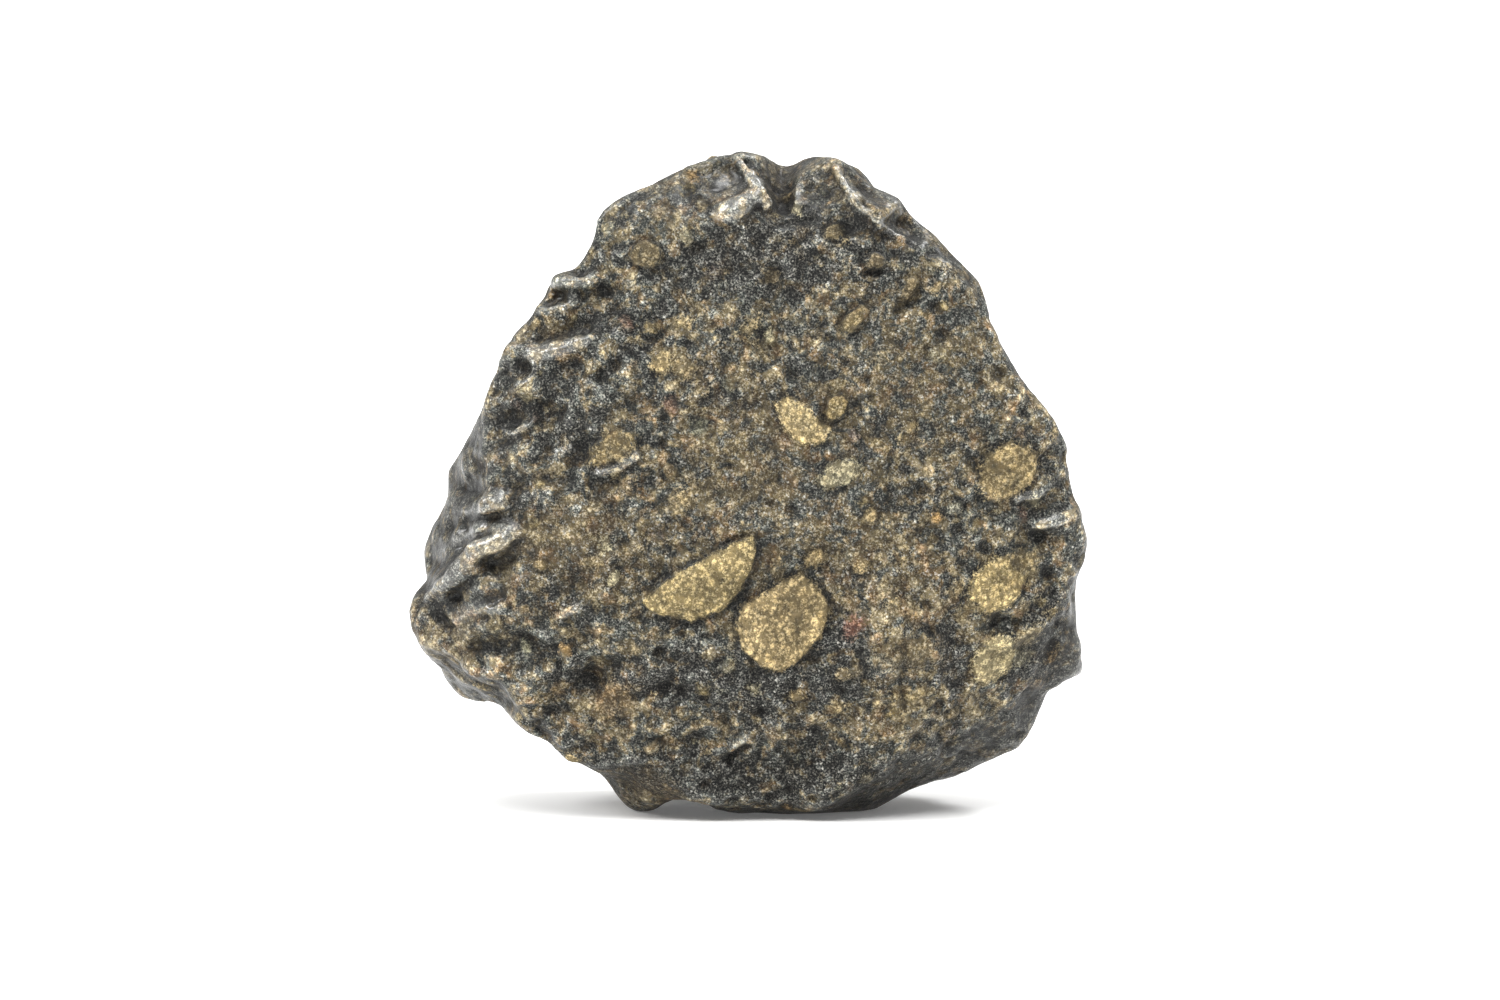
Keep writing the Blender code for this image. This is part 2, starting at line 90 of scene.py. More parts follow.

# %% [markdown]
# ## Colours
# Colours are given as sRGB hex values, as a paint program shows them. Shaders work in linear
# light, so one function turns the first into the second.


# %% Turn hex colours to linear light
def linear(hex_colour):
    """Linear RGBA of an sRGB hex colour."""
    channels = [int(hex_colour[place : place + 2], 16) / 255 for place in (1, 3, 5)]
    return [c / 12.92 if c <= 0.04045 else ((c + 0.055) / 1.055) ** 2.4 for c in channels] + [1.0]


# %% [markdown]
# ## Adding nodes
# Node trees in code are mostly the same three lines again and again. One function makes a node, fills its
# settings, and either sets or links each input, so that a material below reads as a list of its layers.


# %% Add a node with its settings and links
def add_node(tree, kind, sockets=None, stops=None, **settings):
    """Adds a node. An input given another node's output is linked, and any other value is set."""
    made = tree.nodes.new(kind)
    for name, value in settings.items():
        setattr(made, name, value)
    for name, value in (sockets or {}).items():
        if isinstance(value, bpy.types.NodeSocket):
            tree.links.new(value, made.inputs[name])
        else:
            made.inputs[name].default_value = value
    if stops:
        ramp = made.color_ramp.elements
        while len(ramp) < len(stops):
            ramp.new(1.0)
        for element, (place, colour) in zip(ramp, stops):
            element.position = place
            element.color = linear(colour) if isinstance(colour, str) else (colour, colour, colour, 1.0)
    return made


# %% [markdown]
# ## Table and light
# The stone stands on a seamless white table. A large softbox hangs in front of it and overhead. A narrow
# one stands far to the left, where it catches the polished edges, and another stands behind on the right,
# where it draws a thin line of light down the right edge. Broad sun lamps do the same job as the boxes
# and light the table evenly out to the horizon. The room is white behind the stone and overhead, and dark
# on the camera's side, so that the dark rock has little to reflect and stays dark.

# %% Make the table
TABLE_RADIUS = 6.0
TABLE_DROP = 0.02 * MM

table_mesh = bpy.data.meshes.new("table")
turns = np.linspace(0, math.tau, 65)[:-1]
ring = [(math.cos(turn) * TABLE_RADIUS, math.sin(turn) * TABLE_RADIUS, -TABLE_DROP) for turn in turns]
table_mesh.from_pydata(ring, [], [list(range(len(ring)))])
table = bpy.data.objects.new("table", table_mesh)
bpy.context.scene.collection.objects.link(table)
table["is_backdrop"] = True

# Matt paper scatters light evenly. Its faint glow stands for the light that white walls would send back
paper = bpy.data.materials.new("matt_white_paper")
paper.use_nodes = True
paper_shader = paper.node_tree.nodes["Principled BSDF"]
paper_shader.inputs["Base Color"].default_value = linear("#F6F6F5")
paper_shader.inputs["Roughness"].default_value = 0.7
paper_shader.inputs["Emission Color"].default_value = linear("#FFFFFF")
paper_shader.inputs["Emission Strength"].default_value = 0.10
table_mesh.materials.append(paper)

# %% Hang the softboxes
# Power, spread, height above the horizon and turn to the right of the camera, in degrees
SOFTBOXES = {
    "overhead_box": (2.8, 36, 58, -8),
    "left_box": (2.2, 18, 38, -72),
    "right_rim_box": (2.0, 20, 54, 118),
}

for name, (power, box_spread, rise, turn) in SOFTBOXES.items():
    box_data = bpy.data.lights.new(name, "SUN")
    box_data.energy = power
    box_data.angle = math.radians(box_spread)
    box = bpy.data.objects.new(name, box_data)
    rise = math.radians(rise)
    turn = math.radians(turn)
    towards = Vector((math.sin(turn) * math.cos(rise), -math.cos(turn) * math.cos(rise), math.sin(rise)))
    box.rotation_euler = towards.to_track_quat("Z", "Y").to_euler()
    bpy.context.scene.collection.objects.link(box)
print(len(SOFTBOXES), "softboxes")

# %% Paint the room
room = bpy.data.worlds.new("white_room")
room.use_nodes = True
room_tree = room.node_tree
room_direction = add_node(room_tree, "ShaderNodeTexCoord")
room_axes = add_node(room_tree, "ShaderNodeSeparateXYZ", {0: room_direction.outputs["Generated"]})
# Each ramp gives the brightness from the horizon, at 0, to overhead, at 1
behind_stone = add_node(
    room_tree, "ShaderNodeValToRGB", {0: room_axes.outputs["Z"]},
    stops=[(0.0, 0.90), (0.06, 0.90), (0.16, 0.28), (0.5, 0.35), (0.75, 1.0)],
)
camera_side = add_node(
    room_tree, "ShaderNodeValToRGB", {0: room_axes.outputs["Z"]},
    stops=[(0.0, 0.90), (0.05, 0.90), (0.11, 0.05), (0.5, 0.14), (0.8, 1.0)],
)
# Going round from the camera's side to beside the stone, the one gives way to the other
side_share = add_node(
    room_tree, "ShaderNodeMapRange", {"Value": room_axes.outputs["Y"], "From Min": -0.55, "From Max": 0.05},
)
room_shade = add_node(
    room_tree, "ShaderNodeMix",
    {0: side_share.outputs[0], 6: camera_side.outputs[0], 7: behind_stone.outputs[0]},
    data_type="RGBA",
)
room_light = room_tree.nodes["Background"]
room_tree.links.new(room_shade.outputs[2], room_light.inputs["Color"])
room_light.inputs["Strength"].default_value = 1.4
bpy.context.scene.world = room
bpy.context.scene.view_settings.view_transform = "Standard"
print(len(room_tree.nodes), "nodes in the room")

# %% [markdown]
# ## An even skin
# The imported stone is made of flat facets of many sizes. Fine relief needs small, even facets instead. The
# Remesh modifier rebuilds the shape from voxels, and the Smooth modifier then wears the facets' edges
# round, as sand does. A subdivision surface would keep the uneven facets, so it isn't used here.

# %% Remesh the stone
SKIN_VOXEL = 0.135 * MM
WEAR_ROUNDS = 7

holder = bpy.data.objects.new("holder", cad_stone.data.copy())
bpy.context.scene.collection.objects.link(holder)
even = holder.modifiers.new("even skin", "REMESH")
even.mode = "VOXEL"
even.voxel_size = SKIN_VOXEL
worn = holder.modifiers.new("worn edges", "SMOOTH")
worn.iterations = WEAR_ROUNDS
depsgraph = bpy.context.evaluated_depsgraph_get()
skin_mesh = bpy.data.meshes.new_from_object(holder.evaluated_get(depsgraph))
bpy.data.objects.remove(holder)
print("skin of", len(skin_mesh.vertices), "points and", len(skin_mesh.polygons), "faces")


# %% Read the skin into arrays
def read_points(mesh):
    """Positions in millimetres and outward normals of a mesh's points."""
    places = np.empty(len(mesh.vertices) * 3)
    mesh.vertices.foreach_get("co", places)
    facing = np.empty(len(mesh.vertices) * 3)
    mesh.vertices.foreach_get("normal", facing)
    return places.reshape(-1, 3) / MM, facing.reshape(-1, 3)


def write_points(mesh, places):
    """Moves a mesh's points to the given positions in millimetres."""
    mesh.vertices.foreach_set("co", (places * MM).ravel())
    mesh.update()


edge_ends = np.empty(len(skin_mesh.edges) * 2, int)
skin_mesh.edges.foreach_get("vertices", edge_ends)
edge_ends = edge_ends.reshape(-1, 2)


def spread(values, rounds):
    """Evens a value out over the skin: each point takes the mean of itself and its neighbours."""
    first, second = edge_ends.T
    count = len(values)
    share = 1 + np.bincount(first, minlength=count) + np.bincount(second, minlength=count)
    for _ in range(rounds):
        from_second = np.bincount(first, values[second], count)
        from_first = np.bincount(second, values[first], count)
        values = (values + from_second + from_first) / share
    return values


points, normals = read_points(skin_mesh)
seen = points[:, [0, 2]]
# How far each point belongs to the worn face: 1 where it looks forward, 0 where it looks back
on_face = np.clip((0.35 - normals[:, 1]) / 0.7, 0, 1)
print("share of points on the face", round(float(on_face.mean()), 2))


# %% [markdown]
# ## Ledges and hollows
# The stone broke along uneven planes, and the wind then rounded what stuck out. On the face this left
# ledges that run up to the right, mostly along its left edge, with a gentle side above and a steep one
# below. Each is a line of a few points on the face, in millimetres right of the middle and up from the
# table, drawn from left to right or from the top down. A sculpting brush works the same way: a stroke, a
# width on each side and a height. Displacing the skin by a picture would be quicker, but then nothing
# could be moved by its name.


# %% Shape one stroke
def line_distance(places, line):
    """Distance from each place to a line, and which side it is on: 1 to the left of the way it runs."""
    nearest = np.full(len(places), np.inf)
    side = np.zeros(len(places))
    for start, end in zip(line[:-1], line[1:]):
        start = np.array(start)
        run = np.array(end) - start
        offset = places - start
        share = np.clip(offset @ run / (run @ run), 0, 1)
        apart = np.linalg.norm(offset - share[:, None] * run, axis=1)
        turn = np.sign(run[0] * offset[:, 1] - run[1] * offset[:, 0])
        side = np.where(apart < nearest, turn, side)
        nearest = np.minimum(nearest, apart)
    return nearest, side


# A rise loses this share of its height over its width
SIDE_FALL = 0.62


def stroke(places, line, above, below, tall):
    """Height of a stroke: a rise has straight sides that meet in a crest, and a hollow has round ones."""
    apart, side = line_distance(places, line)
    share = apart / np.where(side > 0, above, below)
    straight_sides = np.clip(1 - SIDE_FALL * share, 0, 1)
    round_sides = np.exp(-(share**2))
    return tall * (straight_sides if tall > 0 else round_sides)


# %% List the ledges, swells and hollows
# Line, width above, width below, height
LEDGES = {
    "over the top pit": (((-1.7, 28.4), (-0.8, 28.4)), 0.50, 0.50, 0.20),
    "left of the notch": (((-0.4, 29.4), (0.3, 28.4), (0.8, 27.6)), 0.16, 0.22, 0.30),
    "under the notch": (((-1.1, 27.0), (-0.2, 27.4), (0.3, 27.8)), 0.30, 0.14, 0.26),
    "right of the notch": (((2.05, 28.9), (2.1, 27.7)), 0.18, 0.16, 0.28),
    "long top ridge": (((3.8, 29.2), (4.3, 28.3), (4.8, 27.5), (5.9, 26.7), (6.8, 26.3)), 0.16, 0.20, 0.30),
    "short top ridge": (((5.9, 27.0), (6.8, 27.8)), 0.20, 0.13, 0.14),
    "corner lip": (((-8.4, 24.1), (-7.2, 24.2)), 0.34, 0.20, 0.15),
    "second lip": (((-9.3, 22.9), (-8.5, 23.1), (-7.9, 23.2)), 0.32, 0.20, 0.14),
    "third lip": (((-9.5, 20.8), (-8.4, 21.1), (-7.2, 21.6)), 0.36, 0.13, 0.32),
    "fourth lip": (((-10.5, 17.5), (-9.8, 17.9)), 0.26, 0.13, 0.22),
    "fifth lip": (((-12.8, 14.0), (-11.9, 14.1), (-11.0, 14.4)), 0.52, 0.22, 0.22),
    "sixth lip": (((-13.4, 12.1), (-12.7, 12.8), (-11.9, 13.2)), 0.40, 0.22, 0.20),
    "long left ledge": (((-13.7, 10.6), (-12.9, 11.5), (-11.9, 12.2), (-10.8, 12.7)), 0.72, 0.24, 0.35),
    "low left ledge": (((-13.2, 9.0), (-12.4, 9.5), (-11.2, 9.7)), 0.34, 0.16, 0.18),
    "under the left clast": (((-6.7, 15.8), (-5.8, 16.0), (-4.9, 16.6)), 0.20, 0.11, 0.22),
    "middle left lip": (((-8.4, 16.6), (-8.0, 16.9)), 0.20, 0.12, 0.16),
    "glint by the patch": (((-8.3, 9.4), (-7.6, 9.8)), 0.20, 0.10, 0.20),
    "upper right lip": (((11.9, 14.5), (12.9, 14.8)), 0.20, 0.12, 0.22),
    "lower right lip": (((12.9, 13.3), (14.0, 13.6)), 0.26, 0.13, 0.24),
    "slot lip": (((-0.7, 3.5), (-0.1, 4.0)), 0.18, 0.10, 0.20),
}

# Low rises in the same form. Nothing rubs them, so they don't count as lips
SWELLS = {
    "right corner fold": (((11.0, 8.1), (12.2, 8.5), (13.1, 9.0)), 0.30, 0.36, 0.09),
    "right groove, partly filled": (((11.0, 8.9), (12.9, 9.6)), 0.40, 0.40, 0.24),
    "low right ledge": (((6.2, 4.0), (8.4, 4.9), (10.2, 6.2)), 0.44, 0.40, 0.09),
    "low lump": (((5.8, 7.5), (7.0, 7.8), (8.0, 7.9)), 0.60, 0.60, 0.20),
    "chin ledge": (((-5.0, 4.4), (-3.2, 4.2), (-1.4, 4.6)), 0.40, 0.32, 0.10),
}

# Hollows in the same form, with their height below zero
HOLLOWS = {
    "top pit": (((5.0, 28.7), (5.3, 28.2)), 0.24, 0.24, -0.45),
    "top right hollow": (((6.3, 26.6), (7.1, 26.9)), 0.34, 0.34, -0.35),
    "under the corner lip": (((-9.0, 23.5), (-8.2, 23.7)), 0.32, 0.36, -0.20),
    "over the fourth lip": (((-11.2, 17.9), (-10.2, 18.2)), 0.44, 0.36, -0.14),
    "under the fifth lip": (((-12.8, 13.5), (-11.2, 13.9)), 0.12, 0.26, -0.28),
    "over the fifth lip": (((-12.8, 14.7), (-12.0, 14.9)), 0.40, 0.34, -0.14),
    "over the long ledge": (((-13.2, 12.0), (-12.4, 12.6), (-11.4, 13.0)), 0.14, 0.12, -0.20),
    "under the long ledge": (((-13.4, 10.1), (-12.2, 11.2), (-10.7, 12.0)), 0.12, 0.34, -0.30),
    "lower left dent": (((-12.1, 7.9), (-11.3, 8.0)), 0.34, 0.30, -0.26),
    "lower left valley": (((-8.8, 5.4), (-7.4, 6.0), (-6.2, 6.7)), 0.60, 0.40, -0.24),
    "right face dent": (((12.2, 12.9), (12.9, 13.0)), 0.40, 0.34, -0.08),
    "slot": (((-0.8, 3.0), (-0.2, 3.5)), 0.10, 0.22, -0.28),
    "over the half moon": (((-5.2, 10.3), (-3.4, 11.6), (-1.8, 12.5), (-0.3, 13.1)), 0.09, 0.09, -0.06),
    "behind the bead": (((3.2, 18.1), (3.3, 18.8)), 0.20, 0.16, -0.20),
    "beside the high clast": (((5.2, 24.7), (5.7, 24.7)), 0.14, 0.22, -0.28),
    "high brown pit": (((0.8, 24.4), (1.1, 24.8)), 0.26, 0.22, -0.24),
    "crack": (((6.8, 8.2), (6.7, 6.6), (6.9, 5.4)), 0.18, 0.16, -0.12),
    "mouth": (((-7.2, 7.2), (-4.0, 7.7), (-1.0, 7.2), (1.6, 6.4)), 0.40, 0.55, -0.16),
}

print(len(LEDGES), "ledges,", len(SWELLS), "swells and", len(HOLLOWS), "hollows")

# %% Draw them on the face
STROKE_STRENGTH = 0.9
FULL_LIP = 0.20

face_relief = np.zeros(len(points))
lip = np.zeros(len(points))
for line, above, below, tall in LEDGES.values():
    lip += stroke(seen, line, above, below, tall)
for line, above, below, tall in (*SWELLS.values(), *HOLLOWS.values()):
    face_relief += stroke(seen, line, above, below, tall)
# Strokes would smear along the sides, so they end where the stone turns away from the front
faces_us = np.clip((-0.25 - spread(normals[:, 1], 12)) / 0.35, 0, 1)
face_relief = STROKE_STRENGTH * faces_us * (face_relief + lip)
# From here on this says how far each point is on a lip: 0 is not at all, and 1 is as high as a full lip
lip = faces_us * np.clip(lip / FULL_LIP, 0, 1)
print("face relief from", round(face_relief.min(), 2), "to", round(face_relief.max(), 2), "mm")

# %% [markdown]
# ## Lumps, ribs, chips and pebbly grain
# No one draws every bump. Noise with a chosen size in millimetres gives the rest: broad lumps, a ridged
# noise whose crests look like broken ribs, cells that each tilt their own way, as chipped planes do, and
# cells that look like tiny pebbles set in the matrix. The left of the face breaks into narrow shelves, so
# the big chips are stretched along the way that the ledges run. Some places were ground flat, and all
# this is weaker there.


# %% Add noise at real sizes
def noise_at(places, size, octaves=1, seed=0.0):
    """Noise from about -1 to 1, with lumps of about the given size in millimetres."""
    spots = (places / size + seed).tolist()
    return np.array([noise.fractal(spot, 1.0, 2.0, octaves) for spot in spots])


def ribs_at(places, size, octaves=3, seed=0.0):
    """Noise with sharp crests and round hollows, from about 0 to 1."""
    spots = (places / size + seed).tolist()
    crests = np.array([noise.ridged_multi_fractal(spot, 1.0, 2.1, octaves, 1.0, 1.6) for spot in spots])
    return crests / 1.6


def pebbles_at(places, size, seed=0.0):
    """Round bumps, one to a cell: 1 at the middle of a pebble and 0 at the joint between pebbles."""
    spots = (places / size + seed).tolist()
    gaps = np.array([noise.voronoi(spot)[0][:2] for spot in spots])
    return np.clip((gaps[:, 1] - gaps[:, 0]) / 0.6, 0, 1)


def chips_at(places, size, seed=0.0):
    """Flat chips: each cell tilts its own way, so that the surface breaks into small planes."""
    spots = places / size + seed
    cells = np.array([noise.voronoi(spot)[1][0] for spot in spots.tolist()])
    tilts = 2 * np.array([noise.cell_vector(cell) for cell in (cells * 91.7).tolist()]) - 1
    return size * ((spots - cells) * tilts).sum(axis=1)


# %% Find the shelves and the flat places
SHELF_RISE = math.radians(27)
SHELF_STRETCH = 2.6

along = points[:, 0] * math.cos(SHELF_RISE) + points[:, 2] * math.sin(SHELF_RISE)
across = points[:, 2] * math.cos(SHELF_RISE) - points[:, 0] * math.sin(SHELF_RISE)
shelf_places = np.stack([along / SHELF_STRETCH, across, points[:, 1]], axis=1)
# The left and the top of the face are rough too, each from a line where the roughness starts to grow
left_side = np.clip((-5.0 - points[:, 0]) / 4.0, 0, 1)
top_side = np.clip((points[:, 2] - 25.0) / 2.5, 0, 1)
rough_side = np.clip(1 - on_face + 0.5 * left_side + 0.4 * top_side, 0, 1)

# Places that were ground flat: X, Z, half length, half height
GROUND_FLAT = {
    "mauve brown": (-7.4, 12.6, 3.6, 2.5),
    "upper right": (7.6, 20.4, 3.6, 3.6),
    "middle": (2.0, 15.0, 4.0, 5.0),
}
flatness = np.zeros(len(points))
for x, z, half_length, half_height in GROUND_FLAT.values():
    apart = ((seen[:, 0] - x) / half_length) ** 2 + ((seen[:, 1] - z) / half_height) ** 2
    flatness = np.maximum(flatness, on_face * np.exp(-(apart**2)))

print("ground flat", round(float((flatness > 0.5).mean()), 2), "of the skin")

# %% Add up the noise
BROAD_LUMP = 3.0
MIDDLING_LUMP = 1.35
SMALL_LUMP = 0.62
FINE_LUMP = 0.30
RIB_SIZE = 4.2
BIG_CHIP = 1.9
SMALL_CHIP = 0.75
PEBBLE_SIZE = 0.62

broad = noise_at(points, BROAD_LUMP, octaves=2)
middling = noise_at(points, MIDDLING_LUMP, octaves=2, seed=4.1)
small = noise_at(points, SMALL_LUMP, octaves=2, seed=7.3)
fine = noise_at(points, FINE_LUMP, octaves=1, seed=9.9)
ribs = ribs_at(points, RIB_SIZE, seed=3.1)
# Chips are evened out a little, so that their edges look worn
big_chips = spread(chips_at(shelf_places, BIG_CHIP, seed=11.7), 4)
small_chips = spread(chips_at(points, SMALL_CHIP, seed=2.9), 2)
pebbles = pebbles_at(points, PEBBLE_SIZE, seed=5.9)
broken_side = np.maximum(left_side, 0.8 * top_side) * faces_us

# Height of each kind in millimetres, with what it gains on the face or where the stone is rough or broken
noise_relief = (0.10 + 0.07 * rough_side) * broad
noise_relief += (0.09 + 0.03 * rough_side) * middling
noise_relief += (0.03 + 0.03 * on_face) * small
noise_relief += (0.015 + 0.02 * on_face) * fine
noise_relief += 0.12 * (1 - on_face) * (ribs - 0.5)
noise_relief += (0.07 + 0.24 * broken_side + 0.15 * (1 - on_face)) * big_chips
noise_relief += 0.12 * on_face * small_chips
noise_relief += 0.05 * (pebbles - 0.5) * np.clip(0.6 + middling, 0, 1) * on_face
noise_relief *= (1 - 0.70 * flatness) * (1 - 0.35 * lip)
print("noise relief from", round(noise_relief.min(), 2), "to", round(noise_relief.max(), 2), "mm")

# %% [markdown]
# ## Clasts
# The clasts are bits of older, paler lunar crust. They weather a little slower than the matrix, so most
# stand slightly proud, with a fine dark joint round them. The large ones on the face are listed one by
# one, as outlines or ovals. The rest of the stone gets scattered ones, many small and few large, as crushed
# rock has. Each point of the skin then keeps how deep inside a clast it lies, and that clast's colour,
# for the material.

# %% List the clasts that the face shows
TAN = "#A08D66"
PALE_TAN = "#BAA67A"
OLIVE = "#7C6E48"
GREY_TAN = "#A29B80"
ORANGE_TAN = "#9A7A48"
BROWN = "#5F5038"
MAROON = "#6A4E42"
GREEN_GREY = "#6A6B58"

# Outlines: points right of the middle and up from the table, then colour and how far it stands proud
CLAST_OUTLINES = {
    "half moon": (
        ((-4.8, 10.1), (-4.0, 10.8), (-3.1, 11.5), (-2.2, 12.0), (-1.3, 12.5), (-0.7, 12.8), (0.2, 13.1),
         (0.3, 12.4), (0.1, 11.6), (-0.4, 10.6), (-1.2, 9.7), (-2.6, 9.2), (-3.8, 9.4), (-4.5, 9.8)),
        "#A8976C", 0.17,
    ),
    "rounded triangle": (
        ((2.3, 11.4), (3.1, 10.7), (3.6, 9.7), (3.2, 8.6), (2.4, 7.6), (1.4, 6.9), (0.4, 7.2), (-0.4, 8.1),
         (-0.7, 9.1), (-0.4, 10.0), (0.5, 10.5), (1.4, 11.1)),
        "#B6A278", 0.12,
    ),
    "high pale": (
        ((1.0, 18.9), (1.6, 19.3), (2.3, 19.0), (3.0, 18.3), (3.7, 17.7), (3.1, 17.0), (2.2, 17.1),
         (1.4, 17.8)),
        "#C8B486", 0.07,
    ),
}

# Ovals: X, Z, half length, half width, turn in degrees, colour, how far it stands proud
CLAST_OVALS = {
    "olive bead": (3.8, 18.7, 0.62, 0.46, 48, "#867650", 0.26),
    "grey oval": (3.9, 15.8, 1.02, 0.62, 22, GREY_TAN, 0.08),
    "upper left": (-3.9, 20.7, 0.58, 0.50, 70, PALE_TAN, 0.08),
    "beside it": (-2.9, 20.4, 0.55, 0.30, -35, TAN, 0.03),
    "left": (-6.1, 16.9, 1.25, 0.66, 26, "#867652", 0.09),
    "right": (11.4, 15.8, 1.55, 1.15, 38, "#B09C70", 0.07),
    "lower right": (10.95, 10.75, 1.50, 1.12, 40, "#D0BA84", 0.07),
    "round the lower right": (12.0, 11.7, 0.90, 0.70, 30, "#8A7A55", 0.04),
    "tail of the lower right": (9.8, 9.8, 0.75, 0.40, 30, "#94845E", 0.03),
    "right corner": (10.9, 7.35, 1.25, 0.90, 50, "#D6C79C", 0.08),
    "over the corner": (12.3, 8.3, 0.95, 0.48, 28, "#8C8064", 0.04),
    "in the corner": (12.0, 7.4, 0.60, 0.50, 50, "#85806A", 0.04),
    "orange dot": (8.2, 13.8, 0.30, 0.28, 0, ORANGE_TAN, 0.08),
    "pale dot": (7.1, 17.8, 0.30, 0.26, 0, PALE_TAN, 0.07),
    "round brown": (-3.5, 15.9, 0.34, 0.32, 0, BROWN, 0.16),
    "middle tan": (5.3, 13.9, 0.42, 0.30, 60, TAN, 0.08),
    "over the triangle": (2.9, 12.0, 0.50, 0.40, 20, TAN, 0.10),
    "beside over": (4.9, 11.7, 0.40, 0.32, 40, TAN, 0.09),
    "between": (1.2, 11.8, 0.30, 0.50, -10, TAN, 0.03),
    "small pale": (6.7, 12.0, 0.26, 0.22, 0, PALE_TAN, 0.04),
    "orange low": (7.1, 9.5, 0.26, 0.24, 0, ORANGE_TAN, 0.05),
    "pale low": (6.4, 10.1, 0.34, 0.28, 30, PALE_TAN, 0.05),
    "patch": (-3.1, 14.6, 0.80, 0.50, 40, TAN, 0.02),
    "high patch": (-0.1, 22.2, 0.75, 0.36, 42, PALE_TAN, 0.03),
    "high brown": (0.9, 24.5, 0.46, 0.40, 0, "#665940", 0.10),
    "top brown": (3.7, 26.4, 0.48, 0.42, 20, "#685C42", 0.18),
    "top bright": (4.15, 26.0, 0.20, 0.14, 20, PALE_TAN, 0.04),
    "high round": (5.5, 25.1, 0.42, 0.38, 0, "#5A4F3A", 0.20),
    "high long": (7.0, 23.9, 0.60, 0.34, 60, "#6E6046", 0.18),
    "slanting": (4.5, 22.5, 0.86, 0.38, 48, "#786A4A", 0.20),
    "left knob": (-4.6, 25.4, 0.70, 0.58, 0, "#6A5E44", 0.18),
    "left small": (-4.3, 22.2, 0.42, 0.34, 0, "#6D6042", 0.15),
    "green grey": (-2.2, 17.9, 0.56, 0.46, 20, GREEN_GREY, 0.03),
    "low left patch": (-6.0, 5.6, 0.95, 0.80, 60, "#867050", 0.03),
    "maroon": (4.6, 9.0, 0.62, 0.45, 45, "#7C4E42", 0.05),
    "dark red": (-4.0, 13.2, 0.28, 0.26, 0, MAROON, 0.02),
    "low lump": (6.9, 7.8, 1.60, 0.78, 12, "#685B42", 0.01),
    "low tan": (7.1, 5.7, 1.10, 0.36, 8, "#8E7E58", 0.03),
    "low yellow": (6.4, 5.0, 0.34, 0.26, 0, "#9E8A58", 0.03),
    "low dot": (3.9, 5.3, 0.36, 0.32, 0, PALE_TAN, 0.03),
    "speckle": (-4.9, 7.9, 0.30, 0.24, 0, "#A09070", 0.03),
    "foot": (-4.6, 1.7, 1.50, 0.80, -15, "#463822", 0.02),
}
print(len(CLAST_OUTLINES) + len(CLAST_OVALS), "clasts to place by hand")


# %% Measure how deep inside a clast a place is
def inside_outline(places, outline):
    """Distance in from an outline's edge, in millimetres: positive inside it, negative outside."""
    outline = np.array(outline)
    closed = np.vstack([outline, outline[:1]])
    apart, _ = line_distance(places, closed)
    inside = np.zeros(len(places), bool)
    for (x1, z1), (x2, z2) in zip(closed[:-1], closed[1:]):
        if z1 != z2:
            spans = (z1 > places[:, 1]) != (z2 > places[:, 1])
            inside ^= spans & (places[:, 0] < x1 + (places[:, 1] - z1) * (x2 - x1) / (z2 - z1))
    return np.where(inside, apart, -apart)


def inside_oval(places, x, z, half_length, half_width, turn):
    """The same for an oval, close enough near its edge."""
    turn = math.radians(turn)
    offset = places - (x, z)
    along_oval = offset @ (math.cos(turn), math.sin(turn)) / half_length
    across_oval = offset @ (-math.sin(turn), math.cos(turn)) / half_width
    return (1 - np.hypot(along_oval, across_oval)) * min(half_length, half_width)


# %% Place them
clast_depth = np.full(len(points), -1.0)
clast_rise = np.zeros(len(points))
clast_hold = np.zeros(len(points))
clast_crisp = np.ones(len(points))
clast_colour = np.tile(linear(TAN)[:3], (len(points), 1))


def crisp_of(proud):
    """How sharp a clast's edge is: one that lies flush fades into the matrix."""
    return min(0.35 + 4.5 * proud, 1.0)


def hold_of(proud):
    """How much of a clast shows: one that lies flush is half covered by matrix."""
    return min(0.62 + 3.0 * proud, 0.95)


def add_clast(depth, colour, proud, hold, where=slice(None)):
    """Keeps a clast wherever it is the deepest one so far."""
    deeper = depth > clast_depth[where]
    clast_depth[where] = np.where(deeper, depth, clast_depth[where])
    clast_rise[where] = np.where(deeper, proud, clast_rise[where])
    clast_hold[where] = np.where(deeper, hold, clast_hold[where])
    clast_crisp[where] = np.where(deeper, crisp_of(proud), clast_crisp[where])
    clast_colour[where] = np.where(deeper[:, None], linear(colour)[:3], clast_colour[where])


faces_front = normals[:, 1] < 0.1
for outline, colour, proud in CLAST_OUTLINES.values():
    depth = inside_outline(seen[faces_front], outline)
    add_clast(depth, colour, proud, hold_of(proud), faces_front)
for x, z, half_length, half_width, turn, colour, proud in CLAST_OVALS.values():
    depth = inside_oval(seen[faces_front], x, z, half_length, half_width, turn)
    add_clast(depth, colour, proud, hold_of(proud), faces_front)
print("placed by hand", round(float((clast_depth > 0).mean()), 2), "of the skin")

# %% Scatter the rest
SCATTERED_CLASTS = 1200
SMALLEST_CLAST = 0.13
LARGEST_CLAST = 1.7
LARGEST_ON_FACE = 0.42
MOST_PROUD = 0.11
# The higher this is, the more of the clasts are small
CRUSHING = 3.2
CLAST_COLOURS = (TAN, TAN, PALE_TAN, OLIVE, OLIVE, GREY_TAN, ORANGE_TAN, BROWN, BROWN, GREEN_GREY, MAROON)

draw = np.random.default_rng(5340)
point_tree = kdtree.KDTree(len(points))
for number, place in enumerate(points.tolist()):
    point_tree.insert(place, number)
point_tree.balance()

